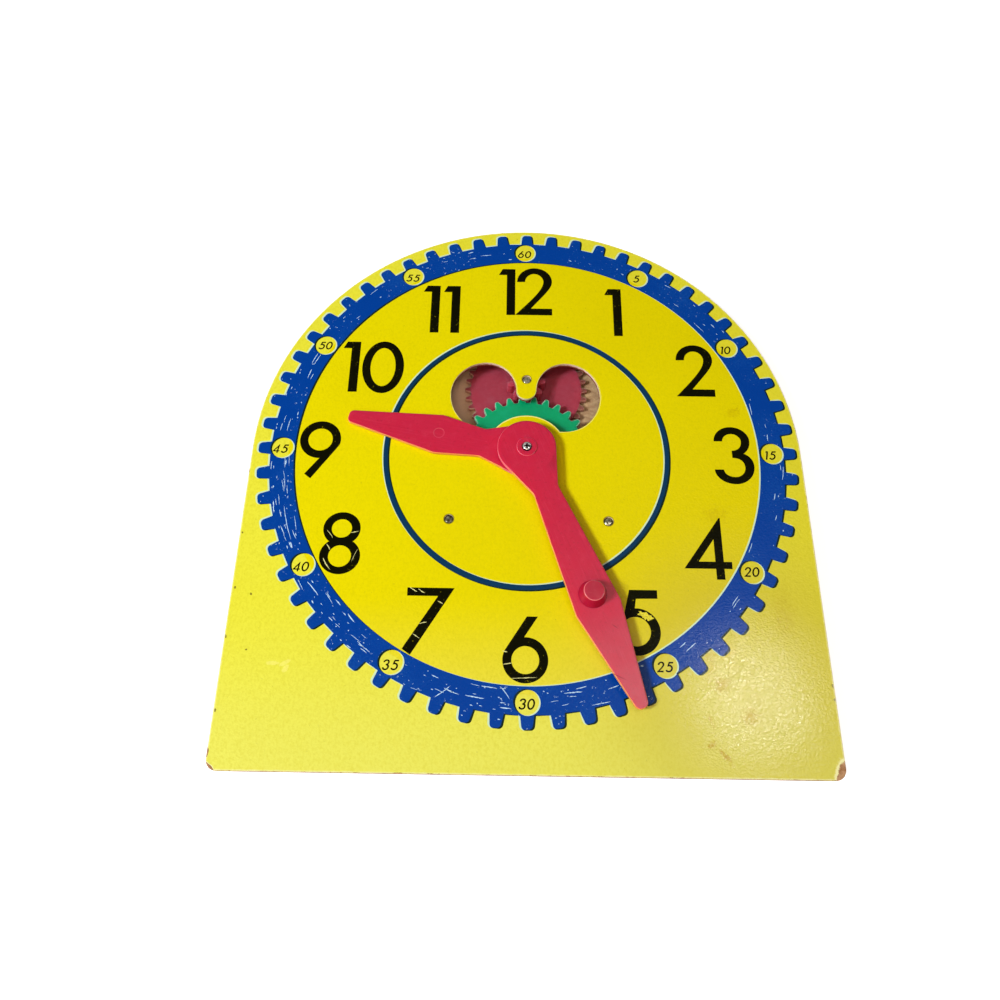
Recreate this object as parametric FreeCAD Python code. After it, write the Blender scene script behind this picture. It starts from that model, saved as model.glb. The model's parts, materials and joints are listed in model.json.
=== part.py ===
import FreeCAD, Part
import math
import os

# Geared teaching clock: a hardboard dial with a window over its gears. Turning the
# minute hand drives the hour hand at one twelfth of its speed through a compound idler.
#
# Millimetres. The clock lies on its back: +Z out of the face, +Y towards 12 o'clock,
# +X towards 3 o'clock. Pieces are built about the hands' axis, and TO_FRAME moves them
# so that the origin is the centre of the footprint, on the plane the back rests on.
# Dial angles are degrees clockwise from 12 o'clock, as seen from the front.

V = FreeCAD.Vector
UP = V(0, 0, 1)

# ---------------------------------------------------------------- driving sizes

# Face board
BOARD_WIDTH = 323.85
BOARD_HEIGHT = 342.9
BOARD_THICKNESS = 3.2
BOARD_FOOT_CORNER_R = 6.0
BOARD_EDGE_R = 0.5
ARCH_RISE = 0.6  # the arch's centre lies this far above the hands' axis

# Window over the gears: two lobes about the tab's middle line, joined below the tab
WINDOW_X = -0.35  # the die that stamped it stood this far off centre
LOBE_TOP_X = 24.0
LOBE_TOP_Y = 60.5
LOBE_SIDE_Y = 38.0
LOBE_RIGHT_REACH = 45.0
LOBE_LEFT_REACH = 46.1
LOBE_FOOT_X = 23.0
LOBE_FOOT_Y = 13.3
TAB_HALF_WIDTH = 5.9
TAB_END_Y = 41.3
HUB_LAND_R = 23.9  # the round land left about the hands' axis

# Back plate
PLATE_THICKNESS = 3.2
PLATE_HEAD_R = 48.0
PLATE_FOOT_R = 13.0
PLATE_EDGE_R = 0.5

# Rivets
RIVET_LEFT_X = -44.1
RIVET_RIGHT_X = 46.8
RIVET_Y = -43.15
RIVET_SHANK_R = 1.6
RIVET_HEAD_R = 2.65
RIVET_HEAD_HEIGHT = 1.3
RIVET_HEAD_SINK = 0.25
RIVET_TAIL_R = 2.5
RIVET_TAIL_HEIGHT = 0.9
RIVET_TAIL_SINK = 0.2
RIVET_TAIL_DISH_R = 1.2
RIVET_WASHER_R = 4.2
RIVET_WASHER_THICKNESS = 0.6
SPACER_R = 3.5
SLEEVE_R = 3.0

# Gear train
CENTRE_DISTANCE = 49.0
MINUTE_TEETH = 12
IDLER_WHEEL_TEETH = 36
IDLER_PINION_TEETH = 8
HOUR_TEETH = 32
PRESSURE_ANGLE = math.radians(20)
BACKLASH = 0.6
ADDENDUM = 0.8  # in modules, as stub teeth have it
DEDENDUM = 1.0
TOOTH_CROWN = 0.35
FLANK_POINTS = 6
HOUR_GAP_ANGLE = 1.55  # where a tooth gap of the hour gear stands at rest
WHEEL_GAP_TURN = 4.6  # how far past the line of centres a gap of the wheel stands at rest

# Stack behind the face
PLATE_TO_WHEEL = 0.6
IDLER_WHEEL_THICKNESS = 2.6
WHEEL_TO_HOUR_GEAR = 1.8
HOUR_GEAR_THICKNESS = 3.5
HOUR_HUB_HEIGHT = 3.7  # in front of the hour gear, as long as the idler's pinion
GEARS_TO_BOARD = 0.4
GEAR_RECESS = 1.0
GEAR_RIM = 7.0
IDLER_WASHER_R = 5.5
IDLER_WASHER_THICKNESS = 0.35
IDLER_HUB_R = 8.5
MINUTE_PINION_LIFT = 0.75
MINUTE_PINION_THICKNESS = 3.0
MINUTE_PINION_HUB_R = 6.5
HOUR_HUB_R = 9.0
SPRING_R = 7.5
SPRING_THICKNESS = 0.3

# Arbor, pipe and hands
ARBOR_R = 3.0
ARBOR_JOURNAL_R = 2.2
ARBOR_SQUARE = 4.0
ARBOR_END_SINK = 0.3
PIPE_R = 5.2
PIPE_FLATS = 8.6
BOARD_TO_HOUR_HAND = 0.5
HOUR_HAND_THICKNESS = 1.9
HAND_GAP = 1.6
MINUTE_HAND_THICKNESS = 2.5
HAND_HUB_R = 17.2
HAND_EDGE_R = 0.5
HAND_WAIST_R = 6.0
HAND_SHOULDER_R = 5.0
HOUR_HAND_ANGLE = 281.2
MINUTE_HAND_ANGLE = 157.8
# Half-widths and distances from the axis of each hand's waist, shoulder and tip
HOUR_WAIST_HALF = 9.0
HOUR_WAIST_AT = 26.5
HOUR_SHOULDER_HALF = 12.8
HOUR_SHOULDER_AT = 53.0
HOUR_TIP_HALF = 3.8
HOUR_TIP_AT = 108.6
MINUTE_WAIST_HALF = 7.6
MINUTE_WAIST_AT = 29.0
MINUTE_SHOULDER_HALF = 13.1
MINUTE_SHOULDER_AT = 102.5
MINUTE_TIP_HALF = 3.2
MINUTE_TIP_AT = 159.0
HOUR_BLADE_SAG = 0.9  # the hour hand's blade leaves its hub this far below its middle
TIP_CORNER_R = 3.2
GATE_MARK_R = 3.1
GATE_MARK_DEPTH = 0.15

# Boss, screw and knob on the minute hand
BOSS_R = 6.0
BOSS_HEIGHT = 0.7
UNDER_BOSS_R = 5.0
BOSS_TO_PIPE = 0.15
SOCKET_WEB = 0.8
SCREW_SHANK_R = 1.25
SCREW_LENGTH = 6.0
SCREW_HEAD_R = 2.75
SCREW_HEAD_HEIGHT = 1.7
SCREW_HEAD_PROUD = 0.8
SCREW_POCKET_GAP = 0.3  # radial, about the head where it sinks into the boss
SCREW_CROSS_WIDTH = 0.8
SCREW_CROSS_LENGTH = 3.2
SCREW_CROSS_DEPTH = 1.1
KNOB_DISTANCE = 94.6
KNOB_BASE_R = 7.8
KNOB_TOP_R = 5.6
KNOB_HEIGHT = 8.0
KNOB_EDGE_R = 0.8
KNOB_STEM_R = 2.5

# Clearances
RUNNING = 0.05  # radial, between a shaft and the bore it turns in
SEATED = 0.03  # radial, between pieces that don't move on each other
SINK = 0.1  # how far a captive end stops short of the face it ends at

# ---------------------------------------------------------------- derived places

PLATE_FRONT_Z = PLATE_THICKNESS
IDLER_REAR_Z = PLATE_FRONT_Z + PLATE_TO_WHEEL
IDLER_FRONT_Z = IDLER_REAR_Z + IDLER_WHEEL_THICKNESS
HOUR_GEAR_REAR_Z = IDLER_FRONT_Z + WHEEL_TO_HOUR_GEAR
HOUR_GEAR_FRONT_Z = HOUR_GEAR_REAR_Z + HOUR_GEAR_THICKNESS
GEARS_FRONT_Z = HOUR_GEAR_FRONT_Z + HOUR_HUB_HEIGHT
BOARD_REAR_Z = GEARS_FRONT_Z + GEARS_TO_BOARD
FACE_Z = BOARD_REAR_Z + BOARD_THICKNESS
HOUR_HAND_Z = FACE_Z + BOARD_TO_HOUR_HAND
HOUR_HAND_TOP_Z = HOUR_HAND_Z + HOUR_HAND_THICKNESS
PIPE_TOP_Z = HOUR_HAND_TOP_Z + SINK
MINUTE_HAND_Z = HOUR_HAND_TOP_Z + HAND_GAP
MINUTE_HAND_TOP_Z = MINUTE_HAND_Z + MINUTE_HAND_THICKNESS
BOSS_TOP_Z = MINUTE_HAND_TOP_Z + BOSS_HEIGHT
UNDER_BOSS_Z = PIPE_TOP_Z + BOSS_TO_PIPE
SCREW_SEAT_Z = BOSS_TOP_Z + SCREW_HEAD_PROUD - SCREW_HEAD_HEIGHT
SOCKET_TOP_Z = SCREW_SEAT_Z - SOCKET_WEB
MINUTE_PINION_Z = PLATE_FRONT_Z + MINUTE_PINION_LIFT
MINUTE_PINION_TOP_Z = MINUTE_PINION_Z + MINUTE_PINION_THICKNESS

BOARD_HALF = BOARD_WIDTH / 2
BOARD_TOP_Y = BOARD_HALF + ARCH_RISE
BOARD_FOOT_Y = BOARD_TOP_Y - BOARD_HEIGHT
TO_FRAME = V(0, -(BOARD_TOP_Y + BOARD_FOOT_Y) / 2, 0)

AXIS = V(0, 0, 0)
IDLER_CENTRE = V(0, CENTRE_DISTANCE, 0)
RIVET_LEFT = V(RIVET_LEFT_X, RIVET_Y, 0)
RIVET_RIGHT = V(RIVET_RIGHT_X, RIVET_Y, 0)
RIVET_PLACES = (RIVET_LEFT, RIVET_RIGHT, IDLER_CENTRE)

HEAD_SEAT_Z = FACE_Z - RIVET_HEAD_SINK - RIVET_HEAD_HEIGHT
TAIL_TOP_Z = RIVET_TAIL_SINK + RIVET_TAIL_HEIGHT
WASHER_SEAT_Z = TAIL_TOP_Z + RIVET_WASHER_THICKNESS

MINUTE_MODULE = 2 * CENTRE_DISTANCE / (MINUTE_TEETH + IDLER_WHEEL_TEETH)
HOUR_MODULE = 2 * CENTRE_DISTANCE / (HOUR_TEETH + IDLER_PINION_TEETH)


# ---------------------------------------------------------------- basic forms

def disc(radius, z0, z1, centre=AXIS):
    """A solid cylinder along Z."""
    return Part.makeCylinder(radius, z1 - z0, centre + UP * z0)


def tube(outer, inner, z0, z1, centre=AXIS):
    return disc(outer, z0, z1, centre).cut(disc(inner, z0, z1, centre))


def prism(face, z0, z1):
    """A flat face in the plane z = 0, extruded between two heights."""
    body = face.extrude(UP * (z1 - z0))
    body.translate(UP * z0)
    return body


def slab(width, depth, z0, z1):
    """A box centred on the axis."""
    return Part.makeBox(width, depth, z1 - z0, V(-width / 2, -depth / 2, z0))


def turned(points, centre=AXIS):
    """A closed (radius, z) profile turned about a vertical line through centre."""
    loop = [V(r, 0, z) for r, z in points]
    wire = Part.makePolygon(loop + loop[:1])
    body = Part.Face(wire).revolve(AXIS, UP, 360)
    body.translate(centre)
    return body


def at_dial_angle(shape, degrees):
    """Turn a shape that points to 12 o'clock to a dial angle."""
    shape.rotate(AXIS, UP, -degrees)
    return shape


def polar(radius, angle):
    """The point at a dial angle in radians."""
    return V(radius * math.sin(angle), radius * math.cos(angle), 0)


def rounded_face(corners):
    """A flat face from (corner, radius) pairs, with each corner rounded to its radius."""
    edges = []
    joints = []
    for i, (corner, radius) in enumerate(corners):
        before = (corners[i - 1][0] - corner).normalize()
        after = (corners[(i + 1) % len(corners)][0] - corner).normalize()
        half = before.getAngle(after) / 2
        reach = radius / math.tan(half)
        start = corner + before * reach
        end = corner + after * reach
        if radius > 0:
            bisector = (before + after).normalize()
            middle = corner + bisector * (radius / math.sin(half) - radius)
            edges.append(Part.Arc(start, middle, end).toShape())
        joints.append((start, end))
    for i, (start, end) in enumerate(joints):
        edges.append(Part.makeLine(joints[i - 1][1], start))
    return Part.Face(Part.Wire(Part.__sortEdges__(edges)))


def round_outer_rim(body, z, radius):
    """Round the outer edge of the flat face at height z."""
    flats = [f for f in body.Faces
             if abs(f.BoundBox.ZMin - z) < 1e-6 and abs(f.BoundBox.ZMax - z) < 1e-6]
    widest = max(flats, key=lambda f: f.BoundBox.DiagonalLength)
    return body.makeFillet(radius, widest.OuterWire.Edges)


# ---------------------------------------------------------------- gear teeth

def involute(angle):
    return math.tan(angle) - angle


def gap_half_angle(radius, teeth, module):
    """Half the angle of a tooth gap at a radius, as a rack cutter would leave it.

    The rack's flank leaves the involute and its corner the trochoid that undercuts a
    small pinion; the gap is the wider of the two.
    """
    pitch_r = module * teeth / 2
    base_r = pitch_r * math.cos(PRESSURE_ANGLE)
    thinning = BACKLASH / 4
    floor_r = pitch_r - DEDENDUM * module
    corner = math.pi * module / 4 + thinning - DEDENDUM * module * math.tan(PRESSURE_ANGLE)
    run = math.sqrt(max(radius ** 2 - floor_r ** 2, 0))
    widest = math.atan2(run, floor_r) - (run - corner) / pitch_r
    if radius > base_r:
        rolled = involute(math.acos(base_r / radius)) - involute(PRESSURE_ANGLE)
        flank = math.pi / (2 * teeth) + thinning / pitch_r + rolled
        widest = max(widest, flank)
    return widest


def gear_face(teeth, module):
    """A gear's flat face about the axis, with a tooth gap at 12 o'clock."""
    pitch = 2 * math.pi / teeth
    pitch_r = module * teeth / 2
    floor_r = pitch_r - DEDENDUM * module
    tip_r = pitch_r + ADDENDUM * module
    shoulder_r = tip_r - TOOTH_CROWN
    steps = [i / (FLANK_POINTS - 1) for i in range(FLANK_POINTS)]
    radii = [floor_r + (shoulder_r - floor_r) * step for step in steps]
    flank = [(r, gap_half_angle(r, teeth, module)) for r in radii]
    edges = []
    for tooth in range(teeth):
        gap = tooth * pitch
        rising = [polar(r, gap + half) for r, half in flank]
        falling = [polar(r, gap + pitch - half) for r, half in reversed(flank)]
        floor_start = polar(floor_r, gap - flank[0][1])
        floor_middle = polar(floor_r, gap)
        crown = polar(tip_r, gap + pitch / 2)
        edges.append(Part.Arc(floor_start, floor_middle, rising[0]).toShape())
        for points in (rising, falling):
            curve = Part.BSplineCurve()
            curve.interpolate(points)
            edges.append(curve.toShape())
        edges.append(Part.Arc(rising[-1], crown, falling[0]).toShape())
    return Part.Face(Part.Wire(Part.__sortEdges__(edges)))


def moulded_wheel(teeth, module, z0, z1, hub_r):
    """A moulded wheel, flat in front, its back hollowed between the rim and the hub."""
    rim_inner = module * teeth / 2 - GEAR_RIM
    wheel = prism(gear_face(teeth, module), z0, z1)
    return wheel.cut(tube(rim_inner, hub_r, z0, z0 + GEAR_RECESS))


# ---------------------------------------------------------------- board and plate

def board_outline():
    """An arch on straight sides, with a square foot and small round corners."""
    right_spring = V(BOARD_HALF, ARCH_RISE)
    left_spring = V(-BOARD_HALF, ARCH_RISE)
    right_foot = V(BOARD_HALF, BOARD_FOOT_Y)
    left_foot = V(-BOARD_HALF, BOARD_FOOT_Y)
    return Part.Face(Part.Wire([
        Part.Arc(right_spring, V(0, BOARD_TOP_Y), left_spring).toShape(),
        Part.makeLine(left_spring, left_foot),
        Part.makeLine(left_foot, right_foot),
        Part.makeLine(right_foot, right_spring),
    ]))


def quarter(centre, end_x, end_y):
    """The quarter of an ellipse between its ends beside and above or below its centre."""
    half = math.sqrt(0.5)
    side = V(end_x, centre.y)
    pole = V(centre.x, end_y)
    across = abs(end_x - centre.x)
    along = abs(end_y - centre.y)
    turn = V(centre.x + (end_x - centre.x) * half, centre.y + (end_y - centre.y) * half)
    if along > across:
        ellipse = Part.Ellipse(pole, side, centre)
    else:
        ellipse = Part.Ellipse(side, pole, centre)
    ends = sorted(ellipse.parameter(p) for p in (side, pole))
    if not ends[0] < ellipse.parameter(turn) < ends[1]:
        ends = [ends[1], ends[0] + 2 * math.pi]
    return Part.ArcOfEllipse(ellipse, *ends).toShape()


def lobe(reach):
    """A lobe on +X, three quarter ellipses from the tab round to the foot."""
    tab_side = V(TAB_HALF_WIDTH, TAB_END_Y)
    foot = V(LOBE_FOOT_X, LOBE_FOOT_Y)
    tail = V(0, LOBE_FOOT_Y)
    tab_root = V(0, TAB_END_Y)
    edges = [
        quarter(V(LOBE_TOP_X, TAB_END_Y), tab_side.x, LOBE_TOP_Y),
        quarter(V(LOBE_TOP_X, LOBE_SIDE_Y), reach, LOBE_TOP_Y),
        quarter(V(LOBE_FOOT_X, LOBE_SIDE_Y), reach, LOBE_FOOT_Y),
        Part.makeLine(foot, tail),
        Part.makeLine(tail, tab_root),
        Part.makeLine(tab_root, tab_side),
    ]
    face = Part.Face(Part.Wire(Part.__sortEdges__(edges)))
    return prism(face, BOARD_REAR_Z, FACE_Z)


def window():
    left = lobe(LOBE_LEFT_REACH).mirror(AXIS, V(1, 0, 0))
    tab_end = disc(TAB_HALF_WIDTH, BOARD_REAR_Z, FACE_Z, V(0, TAB_END_Y))
    opening = lobe(LOBE_RIGHT_REACH).fuse(left).removeSplitter().cut(tab_end)
    opening.translate(V(WINDOW_X, 0, 0))
    return opening.cut(disc(HUB_LAND_R, BOARD_REAR_Z, FACE_Z))


def face_board():
    board = prism(board_outline(), BOARD_REAR_Z, FACE_Z)
    foot_corners = [e for e in board.Edges
                    if e.BoundBox.YMax < BOARD_FOOT_Y + 1e-6 and e.BoundBox.ZLength > 1]
    board = board.makeFillet(BOARD_FOOT_CORNER_R, foot_corners)
    board = round_outer_rim(board, FACE_Z, BOARD_EDGE_R)
    board = board.cut(window())
    board = board.cut(disc(PIPE_R + RUNNING, BOARD_REAR_Z, FACE_Z))
    for place in RIVET_PLACES:
        board = board.cut(disc(RIVET_SHANK_R + SEATED, BOARD_REAR_Z, FACE_Z, place))
        board = board.cut(disc(RIVET_HEAD_R + SINK, HEAD_SEAT_Z, FACE_Z, place))
    return board


def round_hull(circles):
    """The face that a band stretched round (centre, radius) circles encloses.

    The circles are listed anticlockwise, and each one touches the band.
    """
    normals = []
    for i, (centre, radius) in enumerate(circles):
        following, next_radius = circles[(i + 1) % len(circles)]
        span = following - centre
        lean = math.acos((radius - next_radius) / span.Length)
        heading = math.atan2(span.y, span.x)
        normals.append(V(math.cos(heading - lean), math.sin(heading - lean)))
    edges = []
    for i, (centre, radius) in enumerate(circles):
        following, next_radius = circles[(i + 1) % len(circles)]
        start = centre + normals[i - 1] * radius
        end = centre + normals[i] * radius
        middle = centre + (normals[i - 1] + normals[i]).normalize() * radius
        edges.append(Part.Arc(start, middle, end).toShape())
        edges.append(Part.makeLine(end, following + normals[i] * next_radius))
    return Part.Face(Part.Wire(Part.__sortEdges__(edges)))


def back_plate():
    outline = round_hull([
        (RIVET_RIGHT, PLATE_FOOT_R),
        (IDLER_CENTRE, PLATE_HEAD_R),
        (RIVET_LEFT, PLATE_FOOT_R),
    ])
    plate = prism(outline, 0, PLATE_FRONT_Z)
    plate = round_outer_rim(plate, 0, PLATE_EDGE_R)
    plate = plate.cut(disc(ARBOR_JOURNAL_R + RUNNING, 0, PLATE_FRONT_Z))
    for place in RIVET_PLACES:
        plate = plate.cut(disc(RIVET_SHANK_R + SEATED, 0, PLATE_FRONT_Z, place))
        plate = plate.cut(disc(RIVET_WASHER_R + SINK, 0, WASHER_SEAT_Z, place))
    return plate


# ---------------------------------------------------------------- rivets and tubes

def rivet(place):
    """Domed head sunk in the face, clinched and dished tail sunk in the plate's back."""
    dome_top = HEAD_SEAT_Z + RIVET_HEAD_HEIGHT
    rim_z = HEAD_SEAT_Z + RIVET_HEAD_HEIGHT / 2
    shoulder = (RIVET_HEAD_R * 0.7, dome_top - RIVET_HEAD_HEIGHT * 0.15)
    profile = [
        (0, TAIL_TOP_Z),
        (RIVET_TAIL_DISH_R, RIVET_TAIL_SINK),
        (RIVET_TAIL_R, (RIVET_TAIL_SINK + TAIL_TOP_Z) / 2),
        (RIVET_TAIL_R, TAIL_TOP_Z),
        (RIVET_SHANK_R, TAIL_TOP_Z),
        (RIVET_SHANK_R, HEAD_SEAT_Z),
        (RIVET_HEAD_R, HEAD_SEAT_Z),
        (RIVET_HEAD_R, rim_z),
        shoulder,
        (0, dome_top),
    ]
    return turned(profile, place)


def board_rivets():
    return Part.makeCompound([rivet(RIVET_LEFT), rivet(RIVET_RIGHT)])


def rivet_washers():
    inner = RIVET_SHANK_R + SEATED
    return Part.makeCompound([
        tube(RIVET_WASHER_R, inner, TAIL_TOP_Z, WASHER_SEAT_Z, place) for place in RIVET_PLACES
    ])


def spacer(place):
    return tube(SPACER_R, RIVET_SHANK_R + SEATED, PLATE_FRONT_Z, BOARD_REAR_Z, place)


def idler_sleeve():
    return tube(SLEEVE_R, RIVET_SHANK_R + SEATED, PLATE_FRONT_Z, BOARD_REAR_Z, IDLER_CENTRE)


def idler_washer(z0):
    top = z0 + IDLER_WASHER_THICKNESS
    return tube(IDLER_WASHER_R, SLEEVE_R + SEATED, z0, top, IDLER_CENTRE)


# ---------------------------------------------------------------- gear train

def idler_gear():
    """The wheel that the minute pinion drives and the pinion that drives the hour gear."""
    wheel = moulded_wheel(IDLER_WHEEL_TEETH, MINUTE_MODULE, IDLER_REAR_Z, IDLER_FRONT_Z,
                          IDLER_HUB_R)
    wheel = at_dial_angle(wheel, 180 + WHEEL_GAP_TURN)
    pinion = prism(gear_face(IDLER_PINION_TEETH, HOUR_MODULE), IDLER_FRONT_Z, GEARS_FRONT_Z)
    half_pitch = 180 / IDLER_PINION_TEETH
    tooth_angle = 180 - HOUR_GAP_ANGLE * HOUR_TEETH / IDLER_PINION_TEETH
    pinion = at_dial_angle(pinion, tooth_angle - half_pitch)
    gear = wheel.fuse(pinion)
    gear = gear.cut(disc(SLEEVE_R + RUNNING, IDLER_REAR_Z, GEARS_FRONT_Z))
    gear.translate(IDLER_CENTRE)
    return gear


def hour_gear():
    """The hour wheel, with its hubs and the pipe that carries the hour hand."""
    wheel = moulded_wheel(HOUR_TEETH, HOUR_MODULE, HOUR_GEAR_REAR_Z, HOUR_GEAR_FRONT_Z,
                          HOUR_HUB_R)
    wheel = at_dial_angle(wheel, HOUR_GAP_ANGLE)
    hub = disc(HOUR_HUB_R, HOUR_GEAR_FRONT_Z, GEARS_FRONT_Z)
    pipe = disc(PIPE_R, GEARS_FRONT_Z, HOUR_HAND_Z)
    gear = wheel.fuse([hub, pipe, pipe_end(0)])
    return gear.cut(disc(ARBOR_R + RUNNING, HOUR_GEAR_REAR_Z, PIPE_TOP_Z))


def pipe_end(clearance):
    """The pipe's end with two flats, that the hour hand can't turn on."""
    barrel = disc(PIPE_R + clearance, HOUR_HAND_Z, PIPE_TOP_Z)
    flats = slab(PIPE_FLATS + 2 * clearance, 3 * PIPE_R, HOUR_HAND_Z, PIPE_TOP_Z)
    return at_dial_angle(barrel.common(flats), HOUR_HAND_ANGLE)


def minute_pinion():
    """A tooth fills the wheel's gap; a hub in front keeps the hour gear off the teeth."""
    teeth = prism(gear_face(MINUTE_TEETH, MINUTE_MODULE), MINUTE_PINION_Z, MINUTE_PINION_TOP_Z)
    wheel_turns = IDLER_WHEEL_TEETH / MINUTE_TEETH
    teeth = at_dial_angle(teeth, 180 / MINUTE_TEETH - WHEEL_GAP_TURN * wheel_turns)
    hub = disc(MINUTE_PINION_HUB_R, MINUTE_PINION_TOP_Z, HOUR_GEAR_REAR_Z - SINK)
    bore = disc(ARBOR_R + SEATED, MINUTE_PINION_Z, HOUR_GEAR_REAR_Z)
    return teeth.fuse(hub).cut(bore)


def friction_spring():
    """A washer bowed between the plate and the minute pinion."""
    low = PLATE_FRONT_Z
    high = MINUTE_PINION_Z - RUNNING
    rise = high - low - SPRING_THICKNESS
    bow_r = (SPRING_R ** 2 + rise ** 2) / (2 * rise)
    centre_z = high - SPRING_THICKNESS - bow_r
    length = 2 * SPRING_R
    start = V(0, -SPRING_R, centre_z)
    along = V(0, 1, 0)
    outer = Part.makeCylinder(bow_r + SPRING_THICKNESS, length, start, along)
    inner = Part.makeCylinder(bow_r, length, start, along)
    ring = tube(SPRING_R, ARBOR_R + SINK, low, high)
    return ring.common(outer.cut(inner))


def arbor_square(clearance, z1):
    side = ARBOR_SQUARE + 2 * clearance
    return at_dial_angle(slab(side, side, UNDER_BOSS_Z, z1), MINUTE_HAND_ANGLE)


def centre_arbor():
    """Journal in the plate, shaft through the pinion and the pipe, square for the hand."""
    journal = disc(ARBOR_JOURNAL_R, ARBOR_END_SINK, PLATE_FRONT_Z)
    shaft = disc(ARBOR_R, PLATE_FRONT_Z, UNDER_BOSS_Z)
    square = arbor_square(0, SOCKET_TOP_Z - SINK)
    tapped = disc(SCREW_SHANK_R + SEATED, SCREW_SEAT_Z - SCREW_LENGTH - SINK, SOCKET_TOP_Z)
    return journal.fuse([shaft, square]).cut(tapped)


# ---------------------------------------------------------------- hands

def hand_flank(side, places, sag):
    """The corners of one side of a hand, from the hub outwards, each with its radius."""
    reach = places[-1].y
    waist, shoulder, tip = [
        V(side * place.x - sag * (1 - place.y / reach), place.y) for place in places
    ]
    tangent = math.acos(HAND_HUB_R / waist.Length)
    touch = polar(HAND_HUB_R, math.atan2(waist.x, waist.y) + side * tangent)
    return [
        (touch, 0),
        (waist, HAND_WAIST_R),
        (shoulder, HAND_SHOULDER_R),
        (tip, TIP_CORNER_R),
    ]


def hand_blade(waist, shoulder, tip, sag=0):
    """A hand pointing to 12: a round hub, flanks in to the waist, out to the shoulder
    and in to the tip. The flanks leave the hub along its tangents.

    Each place is a half-width and a distance from the axis.
    """
    places = (waist, shoulder, tip)
    right = hand_flank(1, places, sag)
    left = hand_flank(-1, places, sag)
    blade = rounded_face(right + left[::-1])
    hub = Part.Face(Part.Wire(Part.makeCircle(HAND_HUB_R)))
    return blade.fuse(hub).removeSplitter().Faces[0]


def hour_hand():
    blade = hand_blade(V(HOUR_WAIST_HALF, HOUR_WAIST_AT),
                       V(HOUR_SHOULDER_HALF, HOUR_SHOULDER_AT),
                       V(HOUR_TIP_HALF, HOUR_TIP_AT), HOUR_BLADE_SAG)
    hand = prism(blade, HOUR_HAND_Z, HOUR_HAND_TOP_Z)
    hand = round_outer_rim(hand, HOUR_HAND_TOP_Z, HAND_EDGE_R)
    mark = V(0, HOUR_SHOULDER_AT, 0)
    hand = hand.cut(disc(GATE_MARK_R, HOUR_HAND_TOP_Z - GATE_MARK_DEPTH, HOUR_HAND_TOP_Z, mark))
    return at_dial_angle(hand, HOUR_HAND_ANGLE).cut(pipe_end(SEATED))


def minute_hand():
    """The hub has a boss above for the screw's head and one below that the arbor's
    square end fits into."""
    blade = hand_blade(V(MINUTE_WAIST_HALF, MINUTE_WAIST_AT),
                       V(MINUTE_SHOULDER_HALF, MINUTE_SHOULDER_AT),
                       V(MINUTE_TIP_HALF, MINUTE_TIP_AT))
    hand = prism(blade, MINUTE_HAND_Z, MINUTE_HAND_TOP_Z)
    hand = round_outer_rim(hand, MINUTE_HAND_TOP_Z, HAND_EDGE_R)
    knob_place = V(0, KNOB_DISTANCE, 0)
    stem = disc(KNOB_STEM_R + SEATED, MINUTE_HAND_Z, MINUTE_HAND_TOP_Z, knob_place)
    hand = at_dial_angle(hand.cut(stem), MINUTE_HAND_ANGLE)
    boss = round_outer_rim(disc(BOSS_R, MINUTE_HAND_Z, BOSS_TOP_Z), BOSS_TOP_Z, BOSS_HEIGHT / 2)
    under_boss = disc(UNDER_BOSS_R, UNDER_BOSS_Z, MINUTE_HAND_Z)
    hand = hand.fuse([boss, under_boss])
    hand = hand.cut(arbor_square(SEATED, SOCKET_TOP_Z))
    hand = hand.cut(disc(SCREW_SHANK_R + SEATED, SOCKET_TOP_Z, SCREW_SEAT_Z))
    return hand.cut(disc(SCREW_HEAD_R + SCREW_POCKET_GAP, SCREW_SEAT_Z, BOSS_TOP_Z))


def minute_hand_knob():
    """A tapered finger knob with a stem through the hand."""
    base_z = MINUTE_HAND_TOP_Z
    top_z = base_z + KNOB_HEIGHT
    knob = turned([(0, base_z), (KNOB_BASE_R, base_z), (KNOB_TOP_R, top_z), (0, top_z)])
    knob = round_outer_rim(knob, top_z, KNOB_EDGE_R)
    knob = knob.fuse(disc(KNOB_STEM_R, MINUTE_HAND_Z + SINK, base_z))
    knob.translate(V(0, KNOB_DISTANCE, 0))
    return at_dial_angle(knob, MINUTE_HAND_ANGLE)


def centre_screw():
    """Pan head with a cross recess, shank in the arbor's end."""
    top_z = SCREW_SEAT_Z + SCREW_HEAD_HEIGHT
    head = disc(SCREW_HEAD_R, SCREW_SEAT_Z, top_z)
    head = round_outer_rim(head, top_z, SCREW_HEAD_HEIGHT * 0.6)
    shank = disc(SCREW_SHANK_R, SCREW_SEAT_Z - SCREW_LENGTH, SCREW_SEAT_Z)
    floor_z = top_z - SCREW_CROSS_DEPTH
    slot = slab(SCREW_CROSS_WIDTH, SCREW_CROSS_LENGTH, floor_z, top_z)
    cross = slot.fuse(slab(SCREW_CROSS_LENGTH, SCREW_CROSS_WIDTH, floor_z, top_z))
    return head.fuse(shank).cut(cross)


# ---------------------------------------------------------------- assembly

def pieces():
    return {
        "face_board": face_board(),
        "back_plate": back_plate(),
        "spacer_left": spacer(RIVET_LEFT),
        "spacer_right": spacer(RIVET_RIGHT),
        "board_rivets": board_rivets(),
        "rivet_washers": rivet_washers(),
        "idler_axle": rivet(IDLER_CENTRE),
        "idler_sleeve": idler_sleeve(),
        "idler_washer_rear": idler_washer(PLATE_FRONT_Z),
        "idler_washer_front": idler_washer(BOARD_REAR_Z - IDLER_WASHER_THICKNESS),
        "idler_gear": idler_gear(),
        "hour_gear": hour_gear(),
        "hour_hand": hour_hand(),
        "minute_pinion": minute_pinion(),
        "centre_arbor": centre_arbor(),
        "friction_spring": friction_spring(),
        "minute_hand": minute_hand(),
        "minute_hand_knob": minute_hand_knob(),
        "centre_screw": centre_screw(),
    }


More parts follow.
